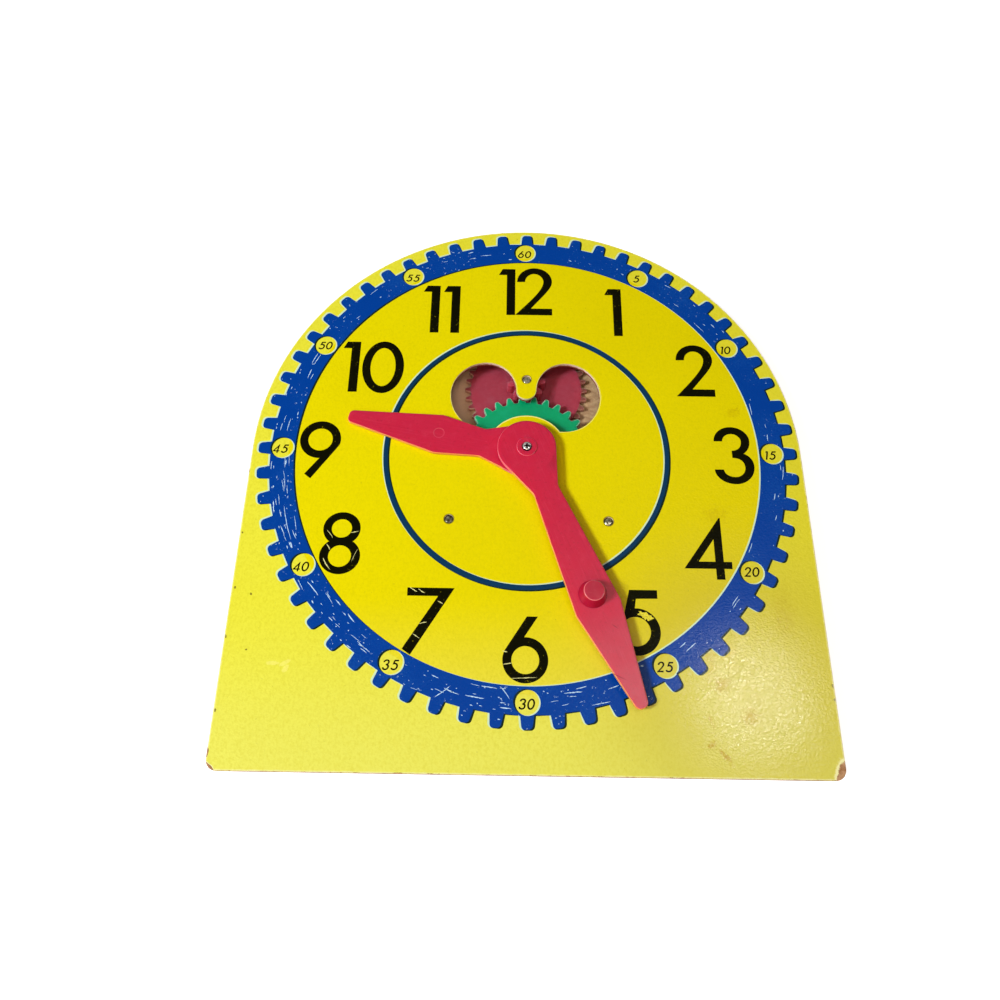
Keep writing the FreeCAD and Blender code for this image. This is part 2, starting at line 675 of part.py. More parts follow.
os.makedirs("parts", exist_ok=True)
for node, shape in pieces().items():
    shape.translate(TO_FRAME)
    shape.exportStep("parts/" + node + ".step")
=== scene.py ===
import bpy
import json
import math
import random
from mathutils import Euler, Matrix, Vector, geometry


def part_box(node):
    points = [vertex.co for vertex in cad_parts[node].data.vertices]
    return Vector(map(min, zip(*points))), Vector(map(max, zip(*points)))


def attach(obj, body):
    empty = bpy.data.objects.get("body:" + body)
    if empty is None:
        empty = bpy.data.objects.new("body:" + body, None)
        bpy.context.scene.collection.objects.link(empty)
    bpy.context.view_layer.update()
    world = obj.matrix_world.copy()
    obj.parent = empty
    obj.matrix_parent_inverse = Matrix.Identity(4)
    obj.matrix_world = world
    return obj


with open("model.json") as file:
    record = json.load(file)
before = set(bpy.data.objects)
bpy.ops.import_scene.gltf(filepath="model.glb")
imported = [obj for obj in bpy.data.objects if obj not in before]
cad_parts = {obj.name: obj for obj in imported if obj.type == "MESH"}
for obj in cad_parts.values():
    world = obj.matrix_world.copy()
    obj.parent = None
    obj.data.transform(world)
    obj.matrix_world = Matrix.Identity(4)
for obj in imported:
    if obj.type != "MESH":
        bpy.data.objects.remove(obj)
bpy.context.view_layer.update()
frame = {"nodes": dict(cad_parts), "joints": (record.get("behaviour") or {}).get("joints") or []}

MM = 0.001
PIVOTS = {joint["name"]: Vector(joint["pos_m"]) for joint in frame["joints"]}
AXIS = PIVOTS["minute_hand_turn"]
IDLER = PIVOTS["idler_turn"]
FACE_LOW, FACE_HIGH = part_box("face_board")
FACE_Z = FACE_HIGH.z
BOARD_REAR_Z = FACE_LOW.z
FOOT_Y = FACE_LOW.y
BOARD_HALF = FACE_HIGH.x
ARCH_Y = FACE_HIGH.y - BOARD_HALF


# -------------------- camera

CAMERA_PLACE = Vector((-0.014152, -0.18782, 0.429256))
CAMERA_TURN = (21.9864, -0.2156, 0.8807)  # about X, Y and Z, in degrees
CAMERA_LENS = 27.7085
SENSOR_WIDTH = 36

camera = bpy.data.objects.new("camera", bpy.data.cameras.new("camera"))
bpy.context.scene.collection.objects.link(camera)
turned = Euler([math.radians(angle) for angle in CAMERA_TURN]).to_matrix()
camera.matrix_world = Matrix.Translation(CAMERA_PLACE) @ turned.to_4x4()
camera.data.sensor_width = SENSOR_WIDTH
camera.data.lens = CAMERA_LENS
camera.data.clip_start = 0.01
camera.data.clip_end = 50
bpy.context.scene.camera = camera
bpy.context.scene.view_settings.view_transform = "Standard"


# -------------------- node building

def rgb(red, green, blue):
    """An sRGB colour of 0 to 255 as the linear RGBA that a socket takes."""
    linear = []
    for value in (red, green, blue):
        share = value / 255
        linear.append(share / 12.92 if share <= 0.04045 else ((share + 0.055) / 1.055) ** 2.4)
    return (*linear, 1)


def emptied(owner):
    """The node tree of a material or a world, with nothing in it."""
    owner.use_nodes = True
    owner.node_tree.nodes.clear()
    return owner.node_tree


def add_node(tree, kind, inputs=None, **settings):
    """A node whose inputs are linked where they are sockets, and otherwise set."""
    made = tree.nodes.new(kind)
    for key, value in settings.items():
        setattr(made, key, value)
    for key, value in (inputs or {}).items():
        if isinstance(value, bpy.types.NodeSocket):
            tree.links.new(value, made.inputs[key])
        else:
            made.inputs[key].default_value = value
    return made


class Finish:
    """One procedural material, built up from small node steps."""

    def __init__(self, name, specular=0.5, metallic=0.0):
        self.material = bpy.data.materials.new(name)
        self.tree = emptied(self.material)
        self.shader = self.node("ShaderNodeBsdfPrincipled", {
            "Specular IOR Level": specular, "Metallic": metallic,
        })
        self.node("ShaderNodeOutputMaterial", {0: self.shader.outputs[0]})
        self.place = self.node("ShaderNodeTexCoord").outputs["Object"]
        parts = self.node("ShaderNodeSeparateXYZ", {0: self.place})
        self.x, self.y, self.z = parts.outputs

    def node(self, kind, inputs=None, **settings):
        return add_node(self.tree, kind, inputs, **settings)

    def math(self, operation, a, b=0.0):
        return self.node("ShaderNodeMath", {0: a, 1: b}, operation=operation).outputs[0]

    def add(self, a, b):
        return self.math("ADD", a, b)

    def sub(self, a, b):
        return self.math("SUBTRACT", a, b)

    def mul(self, a, b):
        return self.math("MULTIPLY", a, b)

    def low(self, a, b):
        return self.math("MINIMUM", a, b)

    def high(self, a, b):
        return self.math("MAXIMUM", a, b)

    def step(self, value, start, end, low=0.0, high=1.0):
        """A smooth rise from low to high as value goes from start to end."""
        made = self.node("ShaderNodeMapRange", {0: value, 1: start, 2: end, 3: low, 4: high},
                         interpolation_type="SMOOTHSTEP")
        return made.outputs[0]

    def length(self, dx, dy):
        return self.math("SQRT", self.add(self.mul(dx, dx), self.mul(dy, dy)))

    def noise(self, scale, detail=2.0, roughness=0.5, stretch=(1, 1, 1), offset=(0, 0, 0)):
        """Noise with that many features to the metre."""
        where = self.node("ShaderNodeMapping", {0: self.place, 1: offset, 3: stretch})
        made = self.node("ShaderNodeTexNoise", {
            "Vector": where.outputs[0], "Scale": scale, "Detail": detail,
            "Roughness": roughness,
        })
        return made.outputs["Fac"]

    def mix(self, share, a, b):
        made = self.node("ShaderNodeMix", {0: share, 6: a, 7: b}, data_type="RGBA")
        return made.outputs[2]

    def offset(self, x, y):
        """How far right of and above a point of the face, in dial millimetres, a place lies."""
        return self.sub(self.x, AXIS.x + x * MM), self.sub(self.y, AXIS.y + y * MM)

    def distance(self, x, y):
        """Distance across the face from a point in dial millimetres."""
        return self.length(*self.offset(x, y))

    def turned(self, dx, dy, turn):
        """An offset along and across a direction, in degrees anticlockwise from +X."""
        c, s = math.cos(math.radians(turn)), math.sin(math.radians(turn))
        along = self.add(self.mul(dx, c), self.mul(dy, s))
        across = self.sub(self.mul(dy, c), self.mul(dx, s))
        return along, across

    def blot(self, x, y, half_width, half_height, turn=0.0):
        """1 at a point of the face, falling to 0 at an ellipse's edge, in dial millimetres."""
        u, v = self.turned(*self.offset(x, y), turn)
        u = self.mul(u, 1 / (half_width * MM))
        v = self.mul(v, 1 / (half_height * MM))
        return self.step(self.length(u, v), 1.0, 0.0)

    def blots(self, places):
        """The highest of several blots, each a tuple of what blot takes."""
        highest = 0.0
        for place in places:
            highest = self.high(highest, self.blot(*place))
        return highest

    def facing(self):
        """The three parts of the direction that a surface faces."""
        normal = self.node("ShaderNodeNewGeometry").outputs["True Normal"]
        return self.node("ShaderNodeSeparateXYZ", {0: normal}).outputs

    def streaks(self, turn, along_scale, across_scale):
        """Noise drawn out along an angle of the face, in degrees anticlockwise from +X."""
        along, across = self.turned(self.x, self.y, turn)
        where = self.node("ShaderNodeCombineXYZ", {
            0: self.mul(along, along_scale), 1: self.mul(across, across_scale),
        })
        made = self.node("ShaderNodeTexNoise", {
            "Vector": where.outputs[0], "Scale": 1.0, "Detail": 3.0,
        })
        return made.outputs["Fac"]

    def glow_through(self, share, reach):
        """Let light travel inside the plastic, further in its own colour."""
        inputs = self.shader.inputs
        inputs["Subsurface Weight"].default_value = share
        inputs["Subsurface Radius"].default_value = reach
        inputs["Subsurface Scale"].default_value = 1.0

    def bump(self, height, distance, normal=None):
        inputs = {"Height": height, "Distance": distance, "Strength": 1.0}
        if normal is not None:
            inputs["Normal"] = normal
        return self.node("ShaderNodeBump", inputs).outputs[0]

    def done(self, colour, roughness=None, normal=None, specular=None):
        for key, value in (("Base Color", colour), ("Roughness", roughness), ("Normal", normal),
                           ("Specular IOR Level", specular)):
            if isinstance(value, bpy.types.NodeSocket):
                self.tree.links.new(value, self.shader.inputs[key])
            elif value is not None:
                self.shader.inputs[key].default_value = value
        return self.material


def dress(names, material):
    """Give CAD nodes a material."""
    for name in names:
        item = frame["nodes"][name]
        if not item.material_slots:
            item.data.materials.append(material)
        for place in item.material_slots:
            place.material = material


# -------------------- painted face

PAINT_SPECULAR = 0.04
INK_SPECULAR = 0.01
POLISH_GLOSS = 0.3
POLISH = (118, -138)  # the face is rubbed glossy about here, in dial millimetres
POLISH_R = 60 * MM
POLISH_CORE_R = 10 * MM
RUBBED_R = 110 * MM  # and rubbed paler this far about it
RUBBED_CORE_R = 30 * MM
GRAIN_DEPTH = 0.25 * MM
FUZZ_DEPTH = 0.25 * MM
BARE_ROUGHNESS = (0.85, 0.85, 0.85, 1)
SCREEN_PITCH = 1.7 * MM
YELLOW = rgb(234, 219, 0)
AGED_YELLOW = rgb(208, 186, 0)
OUTER_YELLOW = rgb(234, 229, 60)
SHEEN_YELLOW = rgb(229, 230, 122)
RUBBED_YELLOW = rgb(188, 170, 66)
STAIN = rgb(186, 156, 0)
SCUFF = rgb(250, 242, 130)
# Pale paint at torn corners, also used for the painted highlight along the board's edges
RIM_PALE = rgb(246, 241, 176)
# Grime in the knocks, and the painted shade round each rivet
GRIME_AND_RIVET_SHADE = rgb(112, 96, 30)
BLACK_INK = rgb(13, 13, 2)
BLUE_INK = rgb(0, 61, 150)
BLUE_WORN = rgb(34, 96, 176)
CIRCLE_INK = rgb(8, 52, 86)
OVERLAP = rgb(14, 38, 18)
PALE_GAP = rgb(206, 232, 196)
FIBRE_DARK = rgb(112, 74, 46)
FIBRE_MID = rgb(160, 112, 74)
FIBRE_PALE = rgb(196, 152, 112)
WALL_PALE_LIT = rgb(255, 226, 206)
WALL_LIP = rgb(120, 84, 30)
WALL_RED = rgb(146, 74, 62)
SCRAPED = rgb(196, 228, 250)
SPECK_YELLOW = rgb(196, 182, 6)
WEAVE_YELLOW = rgb(202, 190, 0)
FLECK_OCHRE = rgb(150, 128, 30)
BACK_HOLLOW = rgb(92, 60, 38)
BACK_KNOT = rgb(124, 86, 56)
BLACK_WORN = rgb(40, 37, 12)
LABEL_INK = rgb(16, 13, 4)
LABEL_WORN = rgb(70, 62, 8)
# Painted highlight along the window's rounded edge, and its duller specks
RIM_HIGHLIGHT_CREAM = rgb(250, 242, 140)
RIM_HIGHLIGHT_DULL = rgb(170, 140, 40)
BARE_PALE = rgb(228, 224, 150)
BARE_YELLOW = rgb(236, 222, 60)

INNER_COAT_R = 140 * MM  # inside the ring the yellow is printed deeper
COAT_BLUR = 0.5 * MM
# A painted sheen pales the yellow from the first height down to the second, where it is palest
SHEEN_BELOW_Y = AXIS.y - 85 * MM
SHEEN_FULL_Y = AXIS.y - 190 * MM
WINDOW_INSET = 20 * MM  # cut edges further in than this are the window's
RIVETS = ((-44.1, -43.15), (46.8, -43.15), (0, 49))

# Golden stains from handling: place, half width, half height, turn and strength
STAINS = (
    (102.5, -133.5, 8, 7, 20, 0.75),
    (116, -150, 8, 8, 0, 0.75),
    (95.2, -164, 4, 3.4, 0, 1),
    (95.5, -152, 1.8, 7, 20, 0.6),
    (101.5, -169.5, 2.6, 8, 38, 1),
    (97, -118, 7, 12, 10, 0.3),
    (124.5, 28.5, 9, 6, 20, 0.4),
    (107.7, -38.3, 12, 9, 0, 0.3),
    (140, -95, 10, 25, 0, 0.25),
)
# Pale scuffs and torn corners: place, half width, half height and turn
SCUFFS = ((-134, -126, 6, 2, 0), (-127.5, -125.8, 5, 2, 30), (-127, -129, 2.4, 4, -30))
TORN_CORNERS = ((162, -179, 9, 15, -14), (-160, -179.2, 9, 3, -40))
# Small dark knocks near the side edges: place and half height
KNOCK_HALF_WIDTH = 0.9
KNOCK_TURN = 12
EDGE_KNOCKS = (
    (161.1, -133.4, 2), (161.1, -140.5, 1.2), (-160.2, -53.3, 1), (-159.8, -85.3, 1.2),
    (-150.5, -88.9, 1.2), (-161, -112.2, 1.6), (-149, -119.2, 0.7), (-160.7, -150.7, 1.4),
)


def polish(m):
    """How far hands have rubbed the face glossy, all of it at the lower right."""
    return m.step(m.distance(*POLISH), POLISH_R, POLISH_CORE_R)


def paint_grain(m):
    """The rolled paint's fine pebbled grain. The inks lie in it, so they share it."""
    pebbles = m.noise(720, stretch=(1, 1.2, 1))
    weave = m.noise(1500, stretch=(0.6, 1, 1), offset=(0.3, 0.1, 0))
    swell = m.noise(45)
    height = m.add(pebbles, m.add(m.mul(weave, 0.4), m.mul(swell, 0.4)))
    return m.bump(m.mul(height, m.step(polish(m), 0, 0.5, 0.6, 1)), GRAIN_DEPTH)


def paint_sheen(m):
    """Roughness of the painted face: uneven, and least where it is polished."""
    smear = m.noise(18, 4, 0.6)
    return m.sub(m.step(smear, 0.3, 0.7, 0.26, 0.34), m.mul(polish(m), 0.17))


def press_screen(m):
    """1 on the knots of the mesh that the press screen leaves on a hardboard's back."""
    turn = 2 * math.pi / SCREEN_PITCH
    weave = m.mul(m.math("SINE", m.mul(m.x, turn)), m.math("SINE", m.mul(m.y, turn)))
    return m.step(weave, -0.3, 0.7)


def edge_inset(m):
    """Distance in from the board's outline."""
    above = m.high(m.sub(m.y, ARCH_Y), 0.0)
    inset = m.low(m.sub(BOARD_HALF, m.length(m.x, above)), m.sub(m.y, FOOT_Y))
    return m.low(inset, m.sub(BOARD_HALF, m.math("ABSOLUTE", m.x)))


def aged_yellow(m):
    """Two coats of yellow, darker to the right, specked by the grain, and paled towards the foot by
    a painted sheen.
    """
    cloud = m.noise(9, 3)
    speck = m.noise(520, 3, 0.7, offset=(1, 2, 0))
    weave = m.noise(800, 1, stretch=(1, 0.6, 1), offset=(0, 6, 2))
    fleck = m.noise(120, 4, 0.75, offset=(4, 1, 0))
    outer = m.step(m.distance(0, 0), INNER_COAT_R, INNER_COAT_R + COAT_BLUR)
    yellow = m.mix(outer, YELLOW, OUTER_YELLOW)
    ageing = m.add(m.step(m.x, -BOARD_HALF, BOARD_HALF, 0.0, 0.24),
                   m.step(cloud, 0.4, 0.7, 0.0, 0.12))
    yellow = m.mix(ageing, yellow, AGED_YELLOW)
    # Painted sheen: paler towards the foot
    yellow = m.mix(m.step(m.y, SHEEN_BELOW_Y, SHEEN_FULL_Y, 0.0, 0.48), yellow, SHEEN_YELLOW)
    yellow = m.mix(m.step(speck, 0.45, 0.72, 0, 0.16), yellow, SPECK_YELLOW)
    yellow = m.mix(m.step(weave, 0.4, 0.7, 0, 0.16), yellow, WEAVE_YELLOW)
    rubbed = m.step(m.distance(*POLISH), RUBBED_R, RUBBED_CORE_R, 0, 0.45)
    yellow = m.mix(rubbed, yellow, RUBBED_YELLOW)
    return m.mix(m.step(fleck, 0.78, 0.84, 0, 0.16), yellow, FLECK_OCHRE)


def marked(m, yellow):
    """The yellow with stains, knocks and a pale scuff from use, and painted shade round the rivets.
    """
    blotch = m.noise(420, 6, 0.8, offset=(2, 5, 0))
    dirt = 0.0
    for *place, strength in STAINS:
        blot = m.blot(*place)
        spot = m.step(m.add(m.mul(blot, 0.5), m.mul(m.sub(blotch, 0.5), 2.4)), 0.1, 0.6)
        spot = m.mul(spot, m.step(blot, 0, 0.2))
        dirt = m.high(dirt, m.mul(spot, strength))
    yellow = m.mix(dirt, yellow, STAIN)
    knocks = m.blots((x, y, KNOCK_HALF_WIDTH, tall, KNOCK_TURN) for x, y, tall in EDGE_KNOCKS)
    knocks = m.step(m.add(m.mul(knocks, 0.6), blotch), 0.62, 0.74, 0, 0.85)
    yellow = m.mix(knocks, yellow, GRIME_AND_RIVET_SHADE)
    scuff = m.step(m.add(m.mul(m.blots(SCUFFS), 0.6), blotch), 0.66, 0.84, 0, 0.45)
    yellow = m.mix(scuff, yellow, SCUFF)
    # Painted shade: a dark ring round each rivet, where it sits in its hole
    for x, y in RIVETS:
        ring = m.step(m.distance(x, y), 3.5 * MM, 2.8 * MM, 0, 0.8)
        yellow = m.mix(ring, yellow, GRIME_AND_RIVET_SHADE)
    return yellow


def worn_edges(m, yellow, inset, fray):
    """The yellow, paled by a painted highlight near the edges and on their rounding, with pale torn
    corners, and how bare of it the fibre is.
    """
    chew = m.noise(48, 3, 0.6, offset=(0, 3, 1))
    ragged = m.sub(fray, 0.5)
    near_rim = m.add(inset, m.mul(ragged, 1.2 * MM))
    # Painted highlight: paler near the outline
    yellow = m.mix(m.step(near_rim, 1.2 * MM, 0.3 * MM, 0.0, 0.8), yellow, RIM_PALE)
    wear = m.add(m.step(fray, 0.5, 0.75, 0, 0.45 * MM), m.step(chew, 0.62, 0.75, 0, 1.1 * MM))
    wear = m.add(wear, m.step(m.y, FOOT_Y + 2 * MM, FOOT_Y + 1 * MM, 0, 0.25 * MM))
    rim_bare = m.step(m.sub(inset, wear), 0.1 * MM, -0.1 * MM)
    torn = m.add(m.blots(TORN_CORNERS), m.mul(ragged, 0.5))
    corner_bare = m.step(torn, 0.34, 0.42)
    yellow = m.mix(m.step(torn, 0.12, 0.3, 0, 0.9), yellow, RIM_PALE)
    # Painted highlight on the edge's rounding, just below the face
    rounded = m.step(m.z, FACE_Z - 0.03 * MM, FACE_Z - 0.14 * MM, 0.0, 0.8)
    yellow = m.mix(rounded, yellow, RIM_PALE)
    below_face = m.step(m.add(m.z, m.mul(ragged, 0.3 * MM)),
                        FACE_Z - 0.32 * MM, FACE_Z - 0.42 * MM)
    return yellow, m.high(m.high(rim_bare, corner_bare), below_face)


def cut_edge(m, inset, fray, strand, coarse):
    """Fibre outside. The window's walls have a brown lip, then are pale, painted brighter to stand
    in for light on them, above torn red.
    """
    fibre = m.mix(m.step(strand, 0.35, 0.65), FIBRE_MID, FIBRE_PALE)
    fibre = m.mix(m.step(coarse, 0.5, 0.7, 0, 0.5), fibre, FIBRE_DARK)
    torn_z = m.add(m.z, m.mul(m.sub(fray, 0.5), 2.2 * MM))
    # Painted light: the walls' pale is brighter than their own colour
    wall = m.mix(m.step(torn_z, FACE_Z - 1.5 * MM, FACE_Z - 2.1 * MM), WALL_PALE_LIT, WALL_RED)
    wall = m.mix(m.step(m.z, FACE_Z - 0.5 * MM, FACE_Z - 0.3 * MM, 0, 0.8), wall, WALL_LIP)
    wall = m.mix(m.step(coarse, 0.5, 0.7, 0, 0.2), wall, FIBRE_MID)
    return m.mix(m.step(inset, WINDOW_INSET, WINDOW_INSET + 5 * MM), fibre, wall)


def face_finish():
    """Yellow front, fibre where the edges are worn, and the screen-marked back."""
    m = Finish("face_paint")
    inset = edge_inset(m)
    fray = m.noise(330, 4, 0.7)
    strand = m.noise(260, 5, 0.7, stretch=(1, 1, 3.5))
    coarse = m.noise(900, 3, 0.6)
    screen = press_screen(m)
    yellow, bare = worn_edges(m, marked(m, aged_yellow(m)), inset, fray)

    back = m.mix(screen, BACK_HOLLOW, BACK_KNOT)
    back = m.mix(m.step(strand, 0.4, 0.7, 0, 0.5), back, FIBRE_MID)
    rear = m.step(m.z, BOARD_REAR_Z + 0.2 * MM, BOARD_REAR_Z + 0.05 * MM)
    brown = m.mix(rear, cut_edge(m, inset, fray, strand, coarse), back)

    roughness = m.mix(bare, paint_sheen(m), BARE_ROUGHNESS)
    fuzz = m.add(strand, m.add(m.mul(coarse, 0.5), m.mul(m.mul(screen, rear), 1.6)))
    normal = m.bump(m.mul(fuzz, bare), FUZZ_DEPTH, normal=paint_grain(m))
    gloss = m.add(m.mul(polish(m), POLISH_GLOSS), PAINT_SPECULAR)
    return m.done(m.mix(bare, yellow, brown), roughness, normal, gloss)


def ink_finish(name, colour, worn, amount, chips=None, chip_amount=0.0, gloss=PAINT_SPECULAR):
    """An ink printed on the face: it thins in specks, and flakes off in small chips."""
    m = Finish(name)
    rub = m.noise(34, 4, 0.6, offset=(3, 0, 0))
    speck = m.noise(950, 3, 0.7)
    streak = m.noise(420, 4, 0.7, offset=(5, 2, 0))
    thin = m.mul(m.step(m.add(m.mul(rub, 0.5), m.mul(speck, 0.6)), 0.52, 0.78), amount)
    made = m.mix(thin, colour, worn)
    if chips is not None:
        flake = m.mul(m.step(streak, 0.63, 0.68), m.step(rub, 0.42, 0.56))
        leftward = m.step(m.x, 20 * MM, 130 * MM, 1.0, 0.35)
        made = m.mix(m.mul(flake, m.mul(leftward, chip_amount)), made, chips)
    return m.done(made, paint_sheen(m), paint_grain(m),
                  m.add(m.mul(polish(m), POLISH_GLOSS / 2), gloss))


dress(["face_board"], face_finish())
blue_ink = ink_finish("blue_ink", BLUE_INK, BLUE_WORN, 0.34, SCRAPED, 0.8)
circle_ink = ink_finish("circle_ink", CIRCLE_INK, BLUE_WORN, 0.25)
overlap_ink = ink_finish("overlap_ink", OVERLAP, BLUE_WORN, 0.15)
gap_white = ink_finish("gap_white", PALE_GAP, OUTER_YELLOW, 0.3)
black_ink = ink_finish("black_ink", BLACK_INK, BLACK_WORN, 0.3, YELLOW, 0.25, INK_SPECULAR)
label_ink = ink_finish("label_ink", LABEL_INK, LABEL_WORN, 0.25, gloss=INK_SPECULAR)
# Painted highlight for the window's rounded edge
rim_highlight = ink_finish("rim_highlight", RIM_HIGHLIGHT_CREAM, RIM_HIGHLIGHT_DULL, 0.5)
bare_white = ink_finish("bare_white", SCRAPED, BLUE_WORN, 0.25)
bare_pale = ink_finish("bare_pale", BARE_PALE, BLACK_INK, 0.4)
bare_yellow = ink_finish("bare_yellow", BARE_YELLOW, BLACK_INK, 0.8)


# -------------------- printed shapes

PRINT_ROOT_Z = FACE_Z - 0.05 * MM
GAP_Z = FACE_Z + 0.010 * MM
OVERLAP_Z = FACE_Z + 0.018 * MM
INK_Z = FACE_Z + 0.026 * MM
CHIP_Z = FACE_Z + 0.034 * MM
RING_OFF_GAP = Vector((0.75, -0.35))  # how far the ring's blue lies off its gap in the yellow
CIRCLE_OFF_GAP = Vector((0.66, -0.5))
LAP = 0.4  # how far inside the gap the blue still darkens
GAP_SPREAD = 0.3  # how much wider than the ring's blue its gap is, round the teeth
NO_AREA = 1e-12
BEND_STEPS = 10
ARC_STEP = 6  # degrees


def anticlockwise(loop):
    before = [loop[-1], *loop[:-1]]
    return sum(p[0] * q[1] - q[0] * p[1] for p, q in zip(before, loop)) > 0


def plate(name, shapes, top, material, body="dial"):
    """A thin closed mesh on the face from flat shapes, each an outline and its holes,
    in dial millimetres."""
    vertices, faces = [], []
    for loops in shapes:
        first = len(vertices)
        corners = [p for loop in loops for p in loop]
        flat = [[Vector((p[0], p[1], 0)) for p in loop] for loop in loops]
        count = len(corners)
        for z in (top, PRINT_ROOT_Z):
            vertices += [(AXIS.x + p[0] * MM, AXIS.y + p[1] * MM, z) for p in corners]
        for a, b, c in geometry.tessellate_polygon(flat):
            pa, pb, pc = (Vector(corners[i][:2]) for i in (a, b, c))
            turn = (pb - pa).cross(pc - pa)
            if abs(turn) < NO_AREA:
                continue
            if turn < 0:
                b, c = c, b
            faces.append((first + a, first + b, first + c))
            faces.append((first + count + c, first + count + b, first + count + a))
        for loop in loops:
            n = len(loop)
            outward = anticlockwise(loop) == (loop is loops[0])
            for i in range(n):
                a, b = first + i, first + (i + 1) % n
                wall = (a, a + count, b + count, b) if outward else (a, b, b + count, a + count)
                faces.append(wall)
            first += n
    mesh = bpy.data.meshes.new(name)
    mesh.from_pydata(vertices, [], faces)
    mesh.validate()
    mesh.materials.append(material)
    piece = bpy.data.objects.new(name, mesh)
    bpy.context.scene.collection.objects.link(piece)
    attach(piece, body)


def arc(cx, cy, rx, ry, start, end, steps=None):
    """Points along an ellipse between two angles, in degrees anticlockwise from +X."""
    count = steps or max(3, round(abs(end - start) / ARC_STEP))
    points = []
    for i in range(count + 1):
        angle = math.radians(start + (end - start) * i / count)
        points.append((cx + rx * math.cos(angle), cy + ry * math.sin(angle)))
    return points


def moved(loops, shift):
    return [[(p[0] + shift[0], p[1] + shift[1]) for p in loop] for loop in loops]


def bend(p0, p1, p2, p3):
    """Points along a cubic curve, without its first."""
    points = []
    for i in range(1, BEND_STEPS + 1):
        t = i / BEND_STEPS
        a, b, c, d = (1 - t) ** 3, 3 * t * (1 - t) ** 2, 3 * t * t * (1 - t), t ** 3
        points.append((a * p0[0] + b * p1[0] + c * p2[0] + d * p3[0],
                       a * p0[1] + b * p1[1] + c * p2[1] + d * p3[1]))
    return points


# Each digit: its outline, then its holes, in millimetres from its left foot
DIGITS = {
    "0": [arc(12.85, 18.45, 12.85, 18.45, 0, 354), arc(12.8, 18.5, 7.7, 13.6, 0, 354)],
    "1": [[(0, 0), (5.5, 0), (5.5, 35.75), (-2.8, 35.75), (-5.2, 31), (0, 31)]],
    "2": [arc(12.3, 25.5, 11.3, 11.1, 180, 90)
          + arc(12.3, 25.9, 11.3, 10.7, 90, 0)[1:]
          + bend((23.6, 25.9), (23.6, 21), (19.5, 16.9), (10, 5))
          + [(23.55, 5), (23.55, 0), (0, 0)]
          + bend((0, 0), (11.5, 12.6), (18.1, 20), (18.1, 26))
          + arc(12.15, 25.6, 5.95, 6.4, 0, 180)[1:]],
    "3": [arc(11.4, 27.5, 10.5, 9.6, 180, 90)
          + arc(11.4, 27.9, 10.7, 9.2, 90, 0)[1:]
          + bend((22.1, 27.9), (22.1, 24.3), (20.4, 21.5), (18, 19.65))
          + bend((18, 19.65), (21.3, 18.2), (23.4, 15.4), (23.4, 11.6))
          + arc(11.7, 11.6, 11.7, 11.6, 0, -90)[1:]
          + arc(11.7, 9.2, 11.7, 9.2, -90, -180)[1:]
          + arc(11.7, 9.2, 6.3, 4.7, 180, 270)
          + arc(11.7, 10.7, 6.3, 6.2, -90, 0)[1:]
          + bend((18, 10.7), (18, 14.6), (15.6, 16.8), (11, 16.8))
          + [(11, 21.5)]
          + bend((11, 21.5), (15, 21.5), (17, 24.3), (17, 27.6))
          + arc(11.5, 27.6, 5.5, 4.9, 0, 180)[1:]],
    "4": [[(0, 6.2), (17.5, 6.2), (17.5, 0), (22.2, 0), (22.2, 6.2), (26.7, 6.2),
           (26.7, 10.3), (22.2, 10.3), (22.2, 36.5), (21.6, 36.5)],
          [(8.2, 10.3), (17.5, 23.5), (17.5, 10.3)]],
    "5": [[(9.8, 36.1), (25.1, 36.1), (25.1, 31.3), (13.3, 31.1)]
          + arc(12.9, 12.9, 12.9, 12.9, 92, -150)
          + arc(12.5, 13, 8, 8, -145, 128)
          + [(6.9, 20.3), (6.7, 23.2)]],
    "6": [[(13, 35.7), (19, 35.7)] + arc(12.2, 12.2, 12.2, 12.2, 93, -202.8),
          arc(12.2, 12.2, 7.4, 7.4, 0, 350)],
    "7": [[(1.2, 36.9), (27.1, 36.9), (4.6, 0), (0, 3.2), (18.2, 32.3), (1.2, 32.3)]],
    "8": [arc(11.35, 26.8, 10.55, 9.9, -50, 230) + arc(11.45, 10.6, 11.45, 10.6, 124, 416),
          arc(11.3, 26.9, 5.7, 5.5, 0, 350), arc(11.4, 10.5, 6.4, 6.3, 0, 350)],
    "9": [arc(12.1, 25.2, 12.1, 12.1, -88, -376) + [(8.6, 0), (4.8, 2.9)],
          arc(12.1, 25.2, 7.2, 7.2, 0, 350)],
}

# Left foot of each digit of each hour, in dial millimetres
HOURS = {
    1: (("1", 54.97, 81.41),),
    2: (("2", 91.42, 38.79),),
    3: (("3", 110.19, -18.9),),
    4: (("4", 87.99, -76.51),),
    5: (("5", 46.73, -119.21),),
    6: (("6", -12.55, -134.6),),
    7: (("7", -66.36, -120.62),),
    8: (("8", -115.63, -76.83),),
    9: (("9", -134.23, -19.38),),
    10: (("1", -109.09, 38.52), ("0", -101.54, 37.82)),
    11: (("1", -61.27, 81.99), ("1", -48.27, 81.99)),
    12: (("1", -13.03, 96.06), ("2", -7.43, 96.16)),
}

for hour, digits in HOURS.items():
    shapes = [moved(DIGITS[digit], (x, y)) for digit, x, y in digits]
    plate(f"numeral_{hour:02d}", shapes, INK_Z, black_ink)

